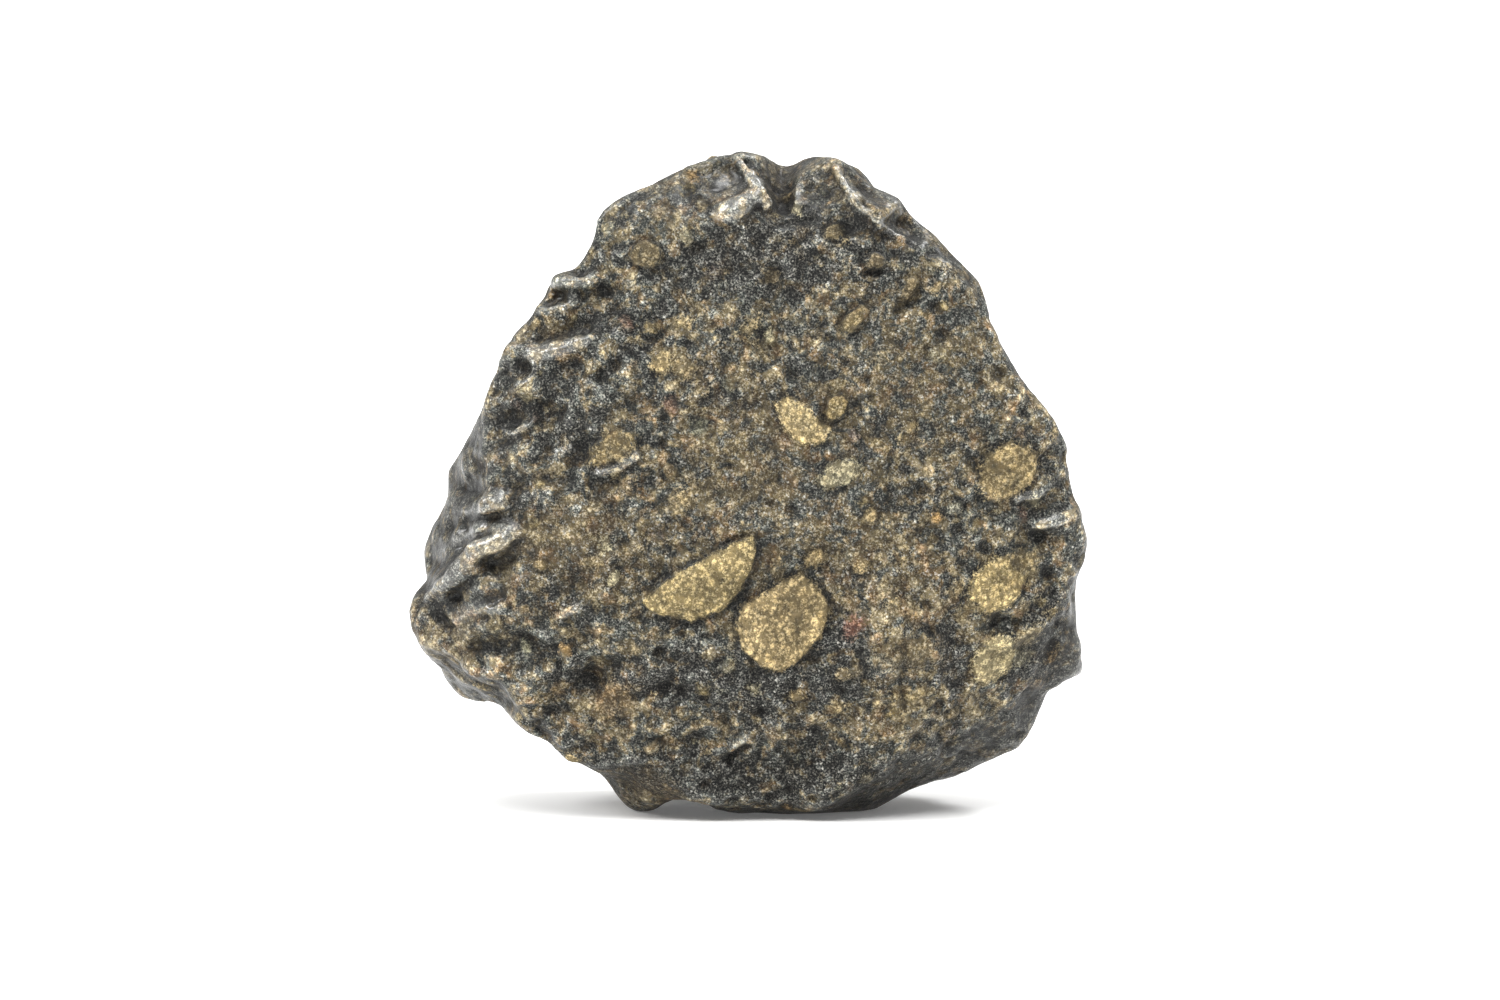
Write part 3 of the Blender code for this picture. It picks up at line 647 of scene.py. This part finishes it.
scattered = 0
for middle in draw.integers(0, len(points), SCATTERED_CLASTS):
    crush = draw.random()
    radius = SMALLEST_CLAST * (LARGEST_CLAST / SMALLEST_CLAST) ** (crush**CRUSHING)
    radius = min(radius, LARGEST_ON_FACE) if on_face[middle] > 0.6 else radius
    colour = CLAST_COLOURS[draw.integers(len(CLAST_COLOURS))]
    proud = draw.uniform(0.0, MOST_PROUD) * min(1.0, radius / 0.4)
    hold = draw.uniform(0.25, 0.85)
    squeeze = draw.normal(size=3)
    squeeze /= np.linalg.norm(squeeze)
    stretch = draw.uniform(1.0, 1.8)
    # One that would lie on another is left out
    if clast_depth[middle] > -0.6 * radius:
        continue
    near = np.array([found[1] for found in point_tree.find_range(points[middle], radius * 1.6)])
    offset = points[near] - points[middle]
    offset = offset + np.outer(offset @ squeeze, squeeze) * (stretch - 1)
    add_clast(radius - np.linalg.norm(offset, axis=1), colour, proud, hold, near)
    scattered += 1
print(scattered, "clasts scattered")

# %% Raise the clasts and sink their joints
EDGE_WIDTH = 0.24
EDGE_NOISE = 0.16
EDGE_NOISE_SIZE = 0.50
JOINT_WIDTH = 0.13
JOINT_DEPTH = 0.10

ragged = EDGE_NOISE * noise_at(points, EDGE_NOISE_SIZE, octaves=2, seed=2.2)
ragged_depth = clast_depth + ragged * np.clip(clast_depth.clip(0) * 2 + 0.5, 0, 1)
clast_cover = np.clip(ragged_depth / EDGE_WIDTH + 0.5, 0, 1)
clast_cover = clast_cover * clast_cover * (3 - 2 * clast_cover)
clast_relief = clast_cover * clast_rise
joint_depth = JOINT_DEPTH * np.clip(clast_rise / 0.12, 0.15, 1)
clast_relief -= joint_depth * np.exp(-(((ragged_depth + 0.04) / JOINT_WIDTH) ** 2))
# A clast's own surface is smoother than the matrix
noise_relief *= 1 - 0.55 * clast_cover * clast_hold
print("clast relief from", round(clast_relief.min(), 2), "to", round(clast_relief.max(), 2), "mm")

# %% [markdown]
# ## Pits
# Grains that fell out left round pits, mostly well under a millimetre wide. They are scattered like the
# clasts, away from them, and made as small bowls. Where bowls meet, the deeper one wins.

# %% Sink the pits
PIT_COUNT = 620
PIT_RADII = (0.12, 0.40)
HIDDEN_PIT_GROWTH = 1.5
PIT_DEPTH = 0.65

pit_relief = np.zeros(len(points))
for middle in draw.integers(0, len(points), PIT_COUNT):
    radius = draw.uniform(*PIT_RADII) * (1.0 if on_face[middle] > 0.6 else HIDDEN_PIT_GROWTH)
    if clast_depth[middle] > -0.5 * radius:
        continue
    near = np.array([found[1] for found in point_tree.find_range(points[middle], radius * 2)])
    apart = np.linalg.norm(points[near] - points[middle], axis=1) / radius
    pit_relief[near] = np.minimum(pit_relief[near], -PIT_DEPTH * radius * np.exp(-(apart**2) * 1.4))
print("pits reach", round(-pit_relief.min(), 2), "mm down")

# %% Move the skin
relief = face_relief + noise_relief + clast_relief + pit_relief
# Relief is held back along the outline and near the table, so that the stone keeps its size and stands firm
outline_calm = np.clip(np.abs(spread(normals[:, 1], 20)) / 0.6, 0.25, 1)
base_calm = np.clip(points[:, 2] / 0.6, 0, 1)
points = points + (relief * outline_calm * base_calm)[:, None] * normals
points[:, 2] = np.maximum(points[:, 2], 0)
write_points(skin_mesh, points)
print("relief from", round(relief.min(), 2), "to", round(relief.max(), 2), "mm")

# %% [markdown]
# ## Polish, shade and tone
# Wind-blown sand polishes what sticks out and leaves the hollows dull, so the material needs to know
# which is which. A point that stands higher than the mean of its neighbours is on a crest. The material
# also paints shade into the hollows and light onto the crests from this. Broad tones are listed patches
# and noise: warm patches where the matrix holds more crushed crust, and dark ones, many along the bottom,
# the edges and the top of the face. The stone is also a little warmer and darker where it turns away
# from the front. All of it is stored on the skin, point by point, and no picture is needed.

# %% Measure crests and hollows
points, normals = read_points(skin_mesh)


def stand_out(rounds, full):
    """How far each point stands out from the mean of its surroundings: 1 or -1 at the full height."""
    around = np.stack([spread(points[:, side], rounds) for side in range(3)], axis=1)
    height = ((points - around) * normals).sum(axis=1)
    return np.clip(spread(height, 1) / full, -1, 1)


crest = stand_out(5, 0.035)
swell = stand_out(40, 0.16)
print("on a crest", round(float((crest > 0.5).mean()), 2), "of the skin")

# %% Find where the varnish is
# The sides, the back and the rim of the face kept their varnish. The face itself was ground matt by sand
RIM_VARNISH = 0.6
# The face ends along this line low on the right, and the wall below it kept its varnish too
FACE_END = ((15.3, 13.5), (14.5, 10.4), (13.6, 7.6), (12.4, 6.1), (10.5, 4.4), (8.5, 2.9), (6.2, 1.3))

seen = points[:, [0, 2]]
varnish = np.clip((normals[:, 1] + 0.80) / 0.45, 0, 1)
left_rim = np.clip(-(points[:, 0] + 0.3) - 8.5, 0, 3) / 3 * np.clip((points[:, 2] - 6.0) / 3, 0, 1)
top_rim = np.clip((points[:, 2] - 26.0) / 2, 0, 1)
varnish = np.maximum(varnish, RIM_VARNISH * np.maximum(left_rim, top_rim))
apart, side = line_distance(seen, FACE_END)
varnish = np.maximum(varnish, np.clip(0.4 + side * apart / 0.7, 0, 0.95))
# The foot has lost its varnish
bare_foot = np.exp(-(((points[:, 0] + 4.7) / 1.8) ** 2 + ((points[:, 2] - 1.4) / 1.3) ** 2))
varnish = np.clip(varnish * (0.80 + 0.5 * noise_at(points, 1.6, 2, 14.2)) * (1 - 0.85 * bare_foot), 0, 1)
print("varnished share", round(float(varnish.mean()), 2))

# %% List the broad tones
# Patches: X, Z, half length, half width, turn in degrees, strength
WARM_PATCHES = {
    "mauve brown": (-7.7, 12.4, 3.6, 2.5, 25, 0.95),
    "tan band": (-1.0, 18.6, 4.4, 2.4, 110, 0.55),
    "band foot": (-0.6, 14.5, 3.0, 2.2, 60, 0.40),
    "right of the middle": (5.4, 11.2, 4.2, 2.2, 15, 0.35),
    "low left": (-6.0, 5.8, 2.2, 1.7, 60, 0.60),
    "low middle": (2.0, 5.2, 4.6, 1.3, 5, 0.45),
    "low right": (7.4, 5.4, 3.4, 1.6, 10, 0.45),
    "left wall": (-13.8, 8.2, 1.5, 2.2, 110, 0.70),
    "left shelf": (-8.6, 22.0, 1.5, 0.6, 20, 0.60),
    "foot": (-4.8, 1.4, 2.0, 1.0, 0, 0.55),
    "top right": (8.0, 20.0, 4.0, 4.0, 0, 0.28),
    "notch": (1.5, 28.6, 1.3, 0.8, 90, 0.95),
}
DARK_PATCHES = {
    "upper left": (-7.6, 20.5, 3.2, 4.2, 30, 0.42),
    "left middle": (-10.8, 16.2, 2.4, 2.6, 0, 0.45),
    "under the clasts": (-1.2, 6.4, 5.2, 1.3, 0, 0.80),
    "chin": (1.0, 4.7, 2.4, 0.8, 0, 0.50),
    "low left": (-8.6, 7.2, 2.6, 1.0, -25, 0.60),
    "bottom": (1.0, 2.2, 8.5, 1.6, 0, 0.70),
    "right of the low clast": (8.9, 7.6, 0.8, 2.4, 0, 0.70),
    "right side": (13.2, 7.0, 1.8, 3.6, -20, 0.80),
    "right rim": (13.2, 13.0, 1.0, 4.0, 0, 0.35),
    "left edge": (-13.4, 12.4, 1.2, 2.6, 0, 0.55),
    "top": (0.5, 26.0, 6.5, 2.2, 0, 0.60),
}
print(len(WARM_PATCHES), "warm patches and", len(DARK_PATCHES), "dark ones")


# %% Lay them with shaken edges
def patches_at(places, patches):
    """Sum of soft-edged patches on the face."""
    total = np.zeros(len(places))
    for x, z, half_length, half_width, turn, strength in patches.values():
        turn = math.radians(turn)
        offset = places - (x, z)
        along_patch = offset @ (math.cos(turn), math.sin(turn)) / half_length
        across_patch = offset @ (-math.sin(turn), math.cos(turn)) / half_width
        total += strength * np.exp(-((along_patch**2 + across_patch**2) ** 1.5))
    return total


EDGE_SHAKE = 0.5
SHAKE_SIZE = 1.4

shakes = [noise_at(points, SHAKE_SIZE, 2, seed) for seed in (1.1, 9.4)]
shaken_places = seen + EDGE_SHAKE * np.stack(shakes, axis=1)
front_share = np.clip((0.2 - normals[:, 1]) / 0.6, 0, 1)
broad_tone = noise_at(points, 4.5, octaves=3, seed=21.0)
warm = front_share * patches_at(shaken_places, WARM_PATCHES) + 0.30 * broad_tone
warm = np.clip(warm + 0.22 * (1 - front_share), 0, 1)
dark = front_share * patches_at(shaken_places, DARK_PATCHES)
dark = np.clip(dark + 0.50 * noise_at(points, 2.6, octaves=3, seed=33.0) + 0.15 * (1 - front_share), 0, 1)


# %% Keep them on the skin
def keep(name, values):
    """Stores one number, or one colour, for each point of the skin."""
    if values.ndim == 1:
        kept = skin_mesh.attributes.new(name, "FLOAT", "POINT")
        kept.data.foreach_set("value", values.astype(np.float32))
    else:
        kept = skin_mesh.attributes.new(name, "FLOAT_COLOR", "POINT")
        alpha = np.ones((len(values), 1))
        kept.data.foreach_set("color", np.hstack([values, alpha]).astype(np.float32).ravel())


measured = {
    "clast_depth": np.clip(clast_depth, -1, 1) * clast_crisp,
    "clast_colour": clast_colour,
    "clast_hold": clast_hold,
    "varnish": varnish,
    "crest": crest,
    "swell": swell,
    "lip": lip,
    "flatness": flatness,
    "warm": warm,
    "dark": dark,
}
for name, values in measured.items():
    keep(name, values)
    print(name, "is", round(float(values.mean()), 2), "on average")

# %% [markdown]
# ## Fewer facets
# The skin is held to at most 196,000 triangles. The library takes up to 200,000 triangles for a piece.
# The Decimate modifier takes facets away where the skin is nearly flat and keeps them where it bends, and
# it carries the stored values along.

# %% Thin the skin
MOST_TRIANGLES = 196000

stone = bpy.data.objects.new("breccia_stone", skin_mesh)
bpy.context.scene.collection.objects.link(stone)
triangles = sum(len(face.vertices) - 2 for face in skin_mesh.polygons)
if triangles > MOST_TRIANGLES:
    thin = stone.modifiers.new("fewer facets", "DECIMATE")
    thin.ratio = MOST_TRIANGLES / triangles
    depsgraph = bpy.context.evaluated_depsgraph_get()
    stone.data = bpy.data.meshes.new_from_object(stone.evaluated_get(depsgraph))
    stone.modifiers.clear()
stone.data.shade_smooth()
print(triangles, "triangles thinned to", sum(len(face.vertices) - 2 for face in stone.data.polygons))

# %% [markdown]
# ## Lunar regolith breccia
# The matrix is lunar soil pressed and welded into rock: dark glass, grey pyroxene and white or tan
# feldspar, from dust up to a third of a millimetre. To the eye that is a fine mottle of blue-grey and
# olive tan, with a white point where a crystal catches the light. Rock minerals have an index of
# refraction near 1.55, no metal and a roughness near 0.6. One noise alone would look like a cloud, and
# cells alone like a mosaic. So both push one tone up and down, and two colour ramps, one cool and one
# warm, turn that tone into rock. Real dust is finer than a pixel, so the smallest grains are drawn just
# under 0.1 mm wide.

# %% Start the breccia
breccia = bpy.data.materials.new("lunar_breccia")
breccia.use_nodes = True
tree = breccia.node_tree
shader = tree.nodes["Principled BSDF"]

position = add_node(tree, "ShaderNodeTexCoord")
in_mm = add_node(
    tree, "ShaderNodeVectorMath", {0: position.outputs["Object"], "Scale": 1 / MM}, operation="SCALE"
)
mm = in_mm.outputs["Vector"]
stored = {}
for name in measured:
    reader = add_node(tree, "ShaderNodeAttribute", attribute_name=name)
    stored[name] = reader.outputs["Color" if name == "clast_colour" else "Fac"]

# %% Break the matrix into patches and grains
PATCH_SIZE = 0.7
HUE_SIZE = 0.7
FINE_SIZE = 0.085
GRAIN_SIZE = 0.24
GRAIN_SHAKE = 0.16
SALT_SIZE = 0.085

patches = add_node(
    tree, "ShaderNodeTexNoise",
    {"Vector": mm, "Scale": 1 / PATCH_SIZE, "Detail": 5.0, "Roughness": 0.66, "Distortion": 0.5},
)
hues = add_node(
    tree, "ShaderNodeTexNoise",
    {"Vector": mm, "Scale": 1 / HUE_SIZE, "Detail": 4.0, "Roughness": 0.68, "Distortion": 0.4},
)
fine_grains = add_node(
    tree, "ShaderNodeTexNoise", {"Vector": mm, "Scale": 1 / FINE_SIZE, "Detail": 2.0, "Roughness": 0.7}
)
# The cells' corners are shaken by the finer noise, so that no grain has a straight edge
shaken = add_node(
    tree, "ShaderNodeVectorMath", {0: fine_grains.outputs["Color"], 1: (GRAIN_SHAKE,) * 3, 2: mm},
    operation="MULTIPLY_ADD",
)
grains = add_node(
    tree, "ShaderNodeTexVoronoi", {"Vector": shaken.outputs["Vector"], "Scale": 1 / GRAIN_SIZE}
)
salt = add_node(
    tree, "ShaderNodeTexVoronoi", {"Vector": shaken.outputs["Vector"], "Scale": 1 / SALT_SIZE}
)
grain_pick = add_node(tree, "ShaderNodeSeparateColor", {0: grains.outputs["Color"]})
salt_pick = add_node(tree, "ShaderNodeSeparateColor", {0: salt.outputs["Color"]})

# %% Set how light each place is
START_TONE = -0.264
MIDDLE_TONE = 0.50

# Each layer pushes the tone up or down: value, and how hard it pushes
tone = START_TONE
for value, push in (
    (patches.outputs["Fac"], 1.10),
    (fine_grains.outputs["Fac"], 0.38),
    (grain_pick.outputs[0], 0.22),
    (stored["warm"], 0.07),
    (stored["dark"], -0.31),
    # Crests are pushed a little lighter: a painted highlight
    (stored["crest"], 0.05),
):
    layer = add_node(tree, "ShaderNodeMath", {0: value, 1: push, 2: tone}, operation="MULTIPLY_ADD")
    tone = layer.outputs[0]
# Where sand ground the face flat, the matrix looks more even
even_share = add_node(tree, "ShaderNodeMath", {0: stored["flatness"], 1: 0.45}, operation="MULTIPLY")
tone = add_node(tree, "ShaderNodeMix", {0: even_share.outputs[0], 2: tone, 3: MIDDLE_TONE}).outputs[0]

# %% Colour the matrix
cool_rock = add_node(
    tree, "ShaderNodeValToRGB", {0: tone},
    stops=[
        (0.20, "#080A09"), (0.36, "#151918"), (0.46, "#2A302E"), (0.56, "#484E4A"),
        (0.68, "#696B5F"), (0.82, "#918F80"),
    ],
)
warm_rock = add_node(
    tree, "ShaderNodeValToRGB", {0: tone},
    stops=[
        (0.20, "#110D08"), (0.36, "#2C2316"), (0.46, "#4D4129"), (0.56, "#6F6040"),
        (0.68, "#8E7E59"), (0.82, "#B5A57F"),
    ],
)
# Noise chooses between them, and the broad tones lean the choice to one side
hue = hues.outputs["Fac"]
for value, push in ((stored["warm"], 0.14), (stored["dark"], -0.10)):
    hue = add_node(tree, "ShaderNodeMath", {0: value, 1: push, 2: hue}, operation="MULTIPLY_ADD").outputs[0]
hue_mask = add_node(
    tree, "ShaderNodeMapRange", {"Value": hue, "From Min": 0.43, "From Max": 0.58},
    interpolation_type="SMOOTHSTEP",
)
matrix = add_node(
    tree, "ShaderNodeMix", {0: hue_mask.outputs[0], 6: cool_rock.outputs[0], 7: warm_rock.outputs[0]},
    data_type="RGBA",
)

# %% Stain it with rust
# Rust makes some of the warm matrix a little redder than the rest
RUST_SIZE = 0.9

rust = add_node(
    tree, "ShaderNodeTexNoise", {"Vector": mm, "Scale": 1 / RUST_SIZE, "Detail": 4.0, "Roughness": 0.6}
)
rust_share = add_node(
    tree, "ShaderNodeMapRange", {"Value": rust.outputs["Fac"], "From Min": 0.50, "From Max": 0.66}
)
rust_share = add_node(
    tree, "ShaderNodeMath", {0: rust_share.outputs[0], 1: hue_mask.outputs[0]}, operation="MULTIPLY"
)
rusty = add_node(
    tree, "ShaderNodeMix", {0: rust_share.outputs[0], 6: matrix.outputs[2], 7: linear("#FFE4D2")},
    data_type="RGBA", blend_type="MULTIPLY",
)

# %% Strew it with pale crystals and painted glints
# The finest grains differ in lightness and hardly in hue: pale crystal dust over the rest. It follows the
# fine noise that also raises the bump, so it also paints glints onto the tops of the finest bumps
dust_and_glints = add_node(
    tree, "ShaderNodeMapRange",
    {"Value": fine_grains.outputs["Fac"], "From Min": 0.45, "From Max": 0.70, "To Max": 0.58},
)
dusted_and_glinted = add_node(
    tree, "ShaderNodeMix", {0: dust_and_glints.outputs[0], 6: rusty.outputs[2], 7: linear("#A09D93")},
    data_type="RGBA",
)
# A few grains are white feldspar, painted near white as painted glints where a crystal face catches
# the light
feldspar_and_glints = add_node(
    tree, "ShaderNodeMapRange",
    {"Value": salt_pick.outputs[1], "From Min": 0.950, "From Max": 0.975, "To Max": 0.60},
)
salted_and_glinted = add_node(
    tree, "ShaderNodeMix", {0: feldspar_and_glints.outputs[0], 6: dusted_and_glinted.outputs[2], 7: linear("#C9C7BE")},
    data_type="RGBA",
)
print(len(tree.nodes), "nodes in the matrix")

# %% [markdown]
# ## Clasts of old crust
# A clast is one bit of rock, mostly feldspar. To the eye it has a soft tan mottle and a few dark grains of
# pyroxene, and its edge is ragged where the matrix grips it. The skin stores how deep inside a clast each
# point lies, so noise added to that depth frays the edge with no extra geometry.

# %% Colour the clasts
MOTTLE_SIZE = 0.55

mottle = add_node(
    tree, "ShaderNodeTexNoise", {"Vector": mm, "Scale": 1 / MOTTLE_SIZE, "Detail": 5.0, "Roughness": 0.7}
)
mottle_shade = add_node(
    tree, "ShaderNodeValToRGB", {0: mottle.outputs["Fac"]},
    stops=[(0.30, "#8A8A82"), (0.45, "#C9C6BC"), (0.55, "#F2EEE4"), (0.72, "#FFF6DC")],
)
pyroxene = add_node(
    tree, "ShaderNodeValToRGB", {0: salt_pick.outputs[2]},
    stops=[(0.0, 0.50), (0.05, 0.70), (0.11, 0.95), (0.80, 1.08), (1.0, 1.26)],
)
clast_body = stored["clast_colour"]
for shading in (mottle_shade, pyroxene):
    clast_body = add_node(
        tree, "ShaderNodeMix", {0: 1.0, 6: clast_body, 7: shading.outputs[0]},
        data_type="RGBA", blend_type="MULTIPLY",
    ).outputs[2]
# The same pale dust and painted glints, weaker, on the clasts
clast_dust_and_glints = add_node(tree, "ShaderNodeMath", {0: dust_and_glints.outputs[0], 1: 0.26}, operation="MULTIPLY")
dusted_and_glinted_clast = add_node(
    tree, "ShaderNodeMix", {0: clast_dust_and_glints.outputs[0], 6: clast_body, 7: linear("#D0C8B0")},
    data_type="RGBA",
)

# %% Fray their edges and lay them in the matrix
FRAY_SIZE = 0.34

fray = add_node(
    tree, "ShaderNodeTexNoise", {"Vector": mm, "Scale": 1 / FRAY_SIZE, "Detail": 4.0, "Roughness": 0.65}
)
frayed_depth = stored["clast_depth"]
for value, push in ((fray.outputs["Fac"], 0.55), (fine_grains.outputs["Fac"], 0.34)):
    layer = add_node(tree, "ShaderNodeMath", {0: value, 1: push, 2: frayed_depth}, operation="MULTIPLY_ADD")
    frayed_depth = layer.outputs[0]
clast_shows = add_node(
    tree, "ShaderNodeMapRange", {"Value": frayed_depth, "From Min": 0.39, "From Max": 0.58},
    interpolation_type="SMOOTHSTEP",
)
clast_mask = add_node(
    tree, "ShaderNodeMath", {0: clast_shows.outputs[0], 1: stored["clast_hold"]}, operation="MULTIPLY"
)
surface = add_node(
    tree, "ShaderNodeMix", {0: clast_mask.outputs[0], 6: salted_and_glinted.outputs[2], 7: dusted_and_glinted_clast.outputs[2]},
    data_type="RGBA",
)

# %% [markdown]
# ## Varnish, painted shade and highlights, and polish
# Desert varnish is a thin dark skin of iron and manganese. It makes the edges satin, with a roughness
# near 0.3. On the lips the film is thinned and the colour painted a paler grey, a painted highlight.
# Painted shade darkens whatever lies low, and painted light brightens what stands high. The varnish
# could be a second shader mixed in, but a film of colour and a coat on the one shader export more simply
# and look the same.

# %% Lay the varnish
# The lips keep less of the dark film and show lighter, as part of their painted highlight
varnish_film = add_node(
    tree, "ShaderNodeMath", {0: stored["lip"], 1: -0.30, 2: stored["varnish"]}, operation="MULTIPLY_ADD"
)
varnish_film = add_node(
    tree, "ShaderNodeMath", {0: varnish_film.outputs[0], 1: 0.78}, operation="MULTIPLY", use_clamp=True
)
filmed = add_node(
    tree, "ShaderNodeMix", {0: varnish_film.outputs[0], 6: surface.outputs[2], 7: linear("#2C2C28")},
    data_type="RGBA",
)
# A painted highlight: the lips are painted a paler grey
lip_highlighted_share = add_node(tree, "ShaderNodeMath", {0: stored["lip"], 1: 0.16}, operation="MULTIPLY")
lip_highlighted = add_node(
    tree, "ShaderNodeMix", {0: lip_highlighted_share.outputs[0], 6: filmed.outputs[2], 7: linear("#94928B")},
    data_type="RGBA",
)

# %% Paint shade low and light high, from the finest gaps between grains to the broad hollows
grain_height = fray.outputs["Fac"]
for value, push in ((grains.outputs["Distance"], -0.8), (fine_grains.outputs["Fac"], 1.1)):
    layer = add_node(tree, "ShaderNodeMath", {0: value, 1: push, 2: grain_height}, operation="MULTIPLY_ADD")
    grain_height = layer.outputs[0]
# Height, the low and the high end of its range, and how bright the colour is painted at each: painted
# shade where it is low and a painted highlight where it is high
shaded = lip_highlighted.outputs[2]
for height, low, high, lowest, highest in (
    (stored["crest"], -0.9, 0.7, 0.55, 1.22),
    (stored["swell"], -0.9, 0.9, 0.55, 1.28),
    (grain_height, 0.58, 1.05, 0.36, 1.38),
):
    shade = add_node(
        tree, "ShaderNodeMapRange",
        {"Value": height, "From Min": low, "From Max": high, "To Min": lowest, "To Max": highest},
    )
    shaded = add_node(
        tree, "ShaderNodeMix", {0: 1.0, 6: shaded, 7: shade.outputs[0]},
        data_type="RGBA", blend_type="MULTIPLY",
    ).outputs[2]

# %% Polish the crests, the varnish and the lips
crest_polish = add_node(
    tree, "ShaderNodeMapRange",
    {"Value": stored["crest"], "From Min": 0.2, "From Max": 1.0, "To Max": 0.36},
)
polish = crest_polish.outputs[0]
for value, push in ((stored["varnish"], 0.30), (clast_mask.outputs[0], -0.7), (stored["lip"], 0.8)):
    polish = add_node(
        tree, "ShaderNodeMath", {0: value, 1: push, 2: polish}, operation="MULTIPLY_ADD", use_clamp=True
    ).outputs[0]
rough = add_node(tree, "ShaderNodeMapRange", {"Value": polish, "To Min": 0.60, "To Max": 0.30})
# No two grains are equally rough
rough_grain = add_node(
    tree, "ShaderNodeMath", {0: grain_pick.outputs[1], 1: 0.14, 2: rough.outputs[0]},
    operation="MULTIPLY_ADD",
)

# %% Roughen it
# Varnish fills the gaps between grains, so it is smoother as well as glossier. Clasts are smoother too
BUMP_DEPTH = 0.09 * MM

grain_shows = add_node(tree, "ShaderNodeMapRange", {"Value": polish, "To Min": 1.0, "To Max": 0.45})
bump_strength = add_node(
    tree, "ShaderNodeMath", {0: clast_mask.outputs[0], 1: -0.3, 2: grain_shows.outputs[0]},
    operation="MULTIPLY_ADD", use_clamp=True,
)
bump = add_node(
    tree, "ShaderNodeBump",
    {"Height": grain_height, "Strength": bump_strength.outputs[0], "Distance": BUMP_DEPTH},
)

# %% Give the stone its finish
# Rough stone shines less than its index says, because its pores swallow light
shader.inputs["IOR"].default_value = 1.55
shader.inputs["Metallic"].default_value = 0.0
shader.inputs["Specular IOR Level"].default_value = 0.20
shader.inputs["Coat Roughness"].default_value = 0.25
tree.links.new(polish, shader.inputs["Coat Weight"])
tree.links.new(shaded, shader.inputs["Base Color"])
tree.links.new(rough_grain.outputs[0], shader.inputs["Roughness"])
tree.links.new(bump.outputs["Normal"], shader.inputs["Normal"])
stone.data.materials.clear()
stone.data.materials.append(breccia)
print(len(tree.nodes), "nodes in the breccia")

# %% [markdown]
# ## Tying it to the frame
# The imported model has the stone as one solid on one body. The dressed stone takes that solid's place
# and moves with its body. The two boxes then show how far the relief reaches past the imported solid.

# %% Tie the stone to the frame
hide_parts("stone")
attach(stone, "root")

# %% Print how much the box grows
dressed_low, dressed_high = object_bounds()
growth = (dressed_high - dressed_low) - (cad_high - cad_low)
print("dressed box grows by", [round(side / MM, 2) for side in growth], "mm")
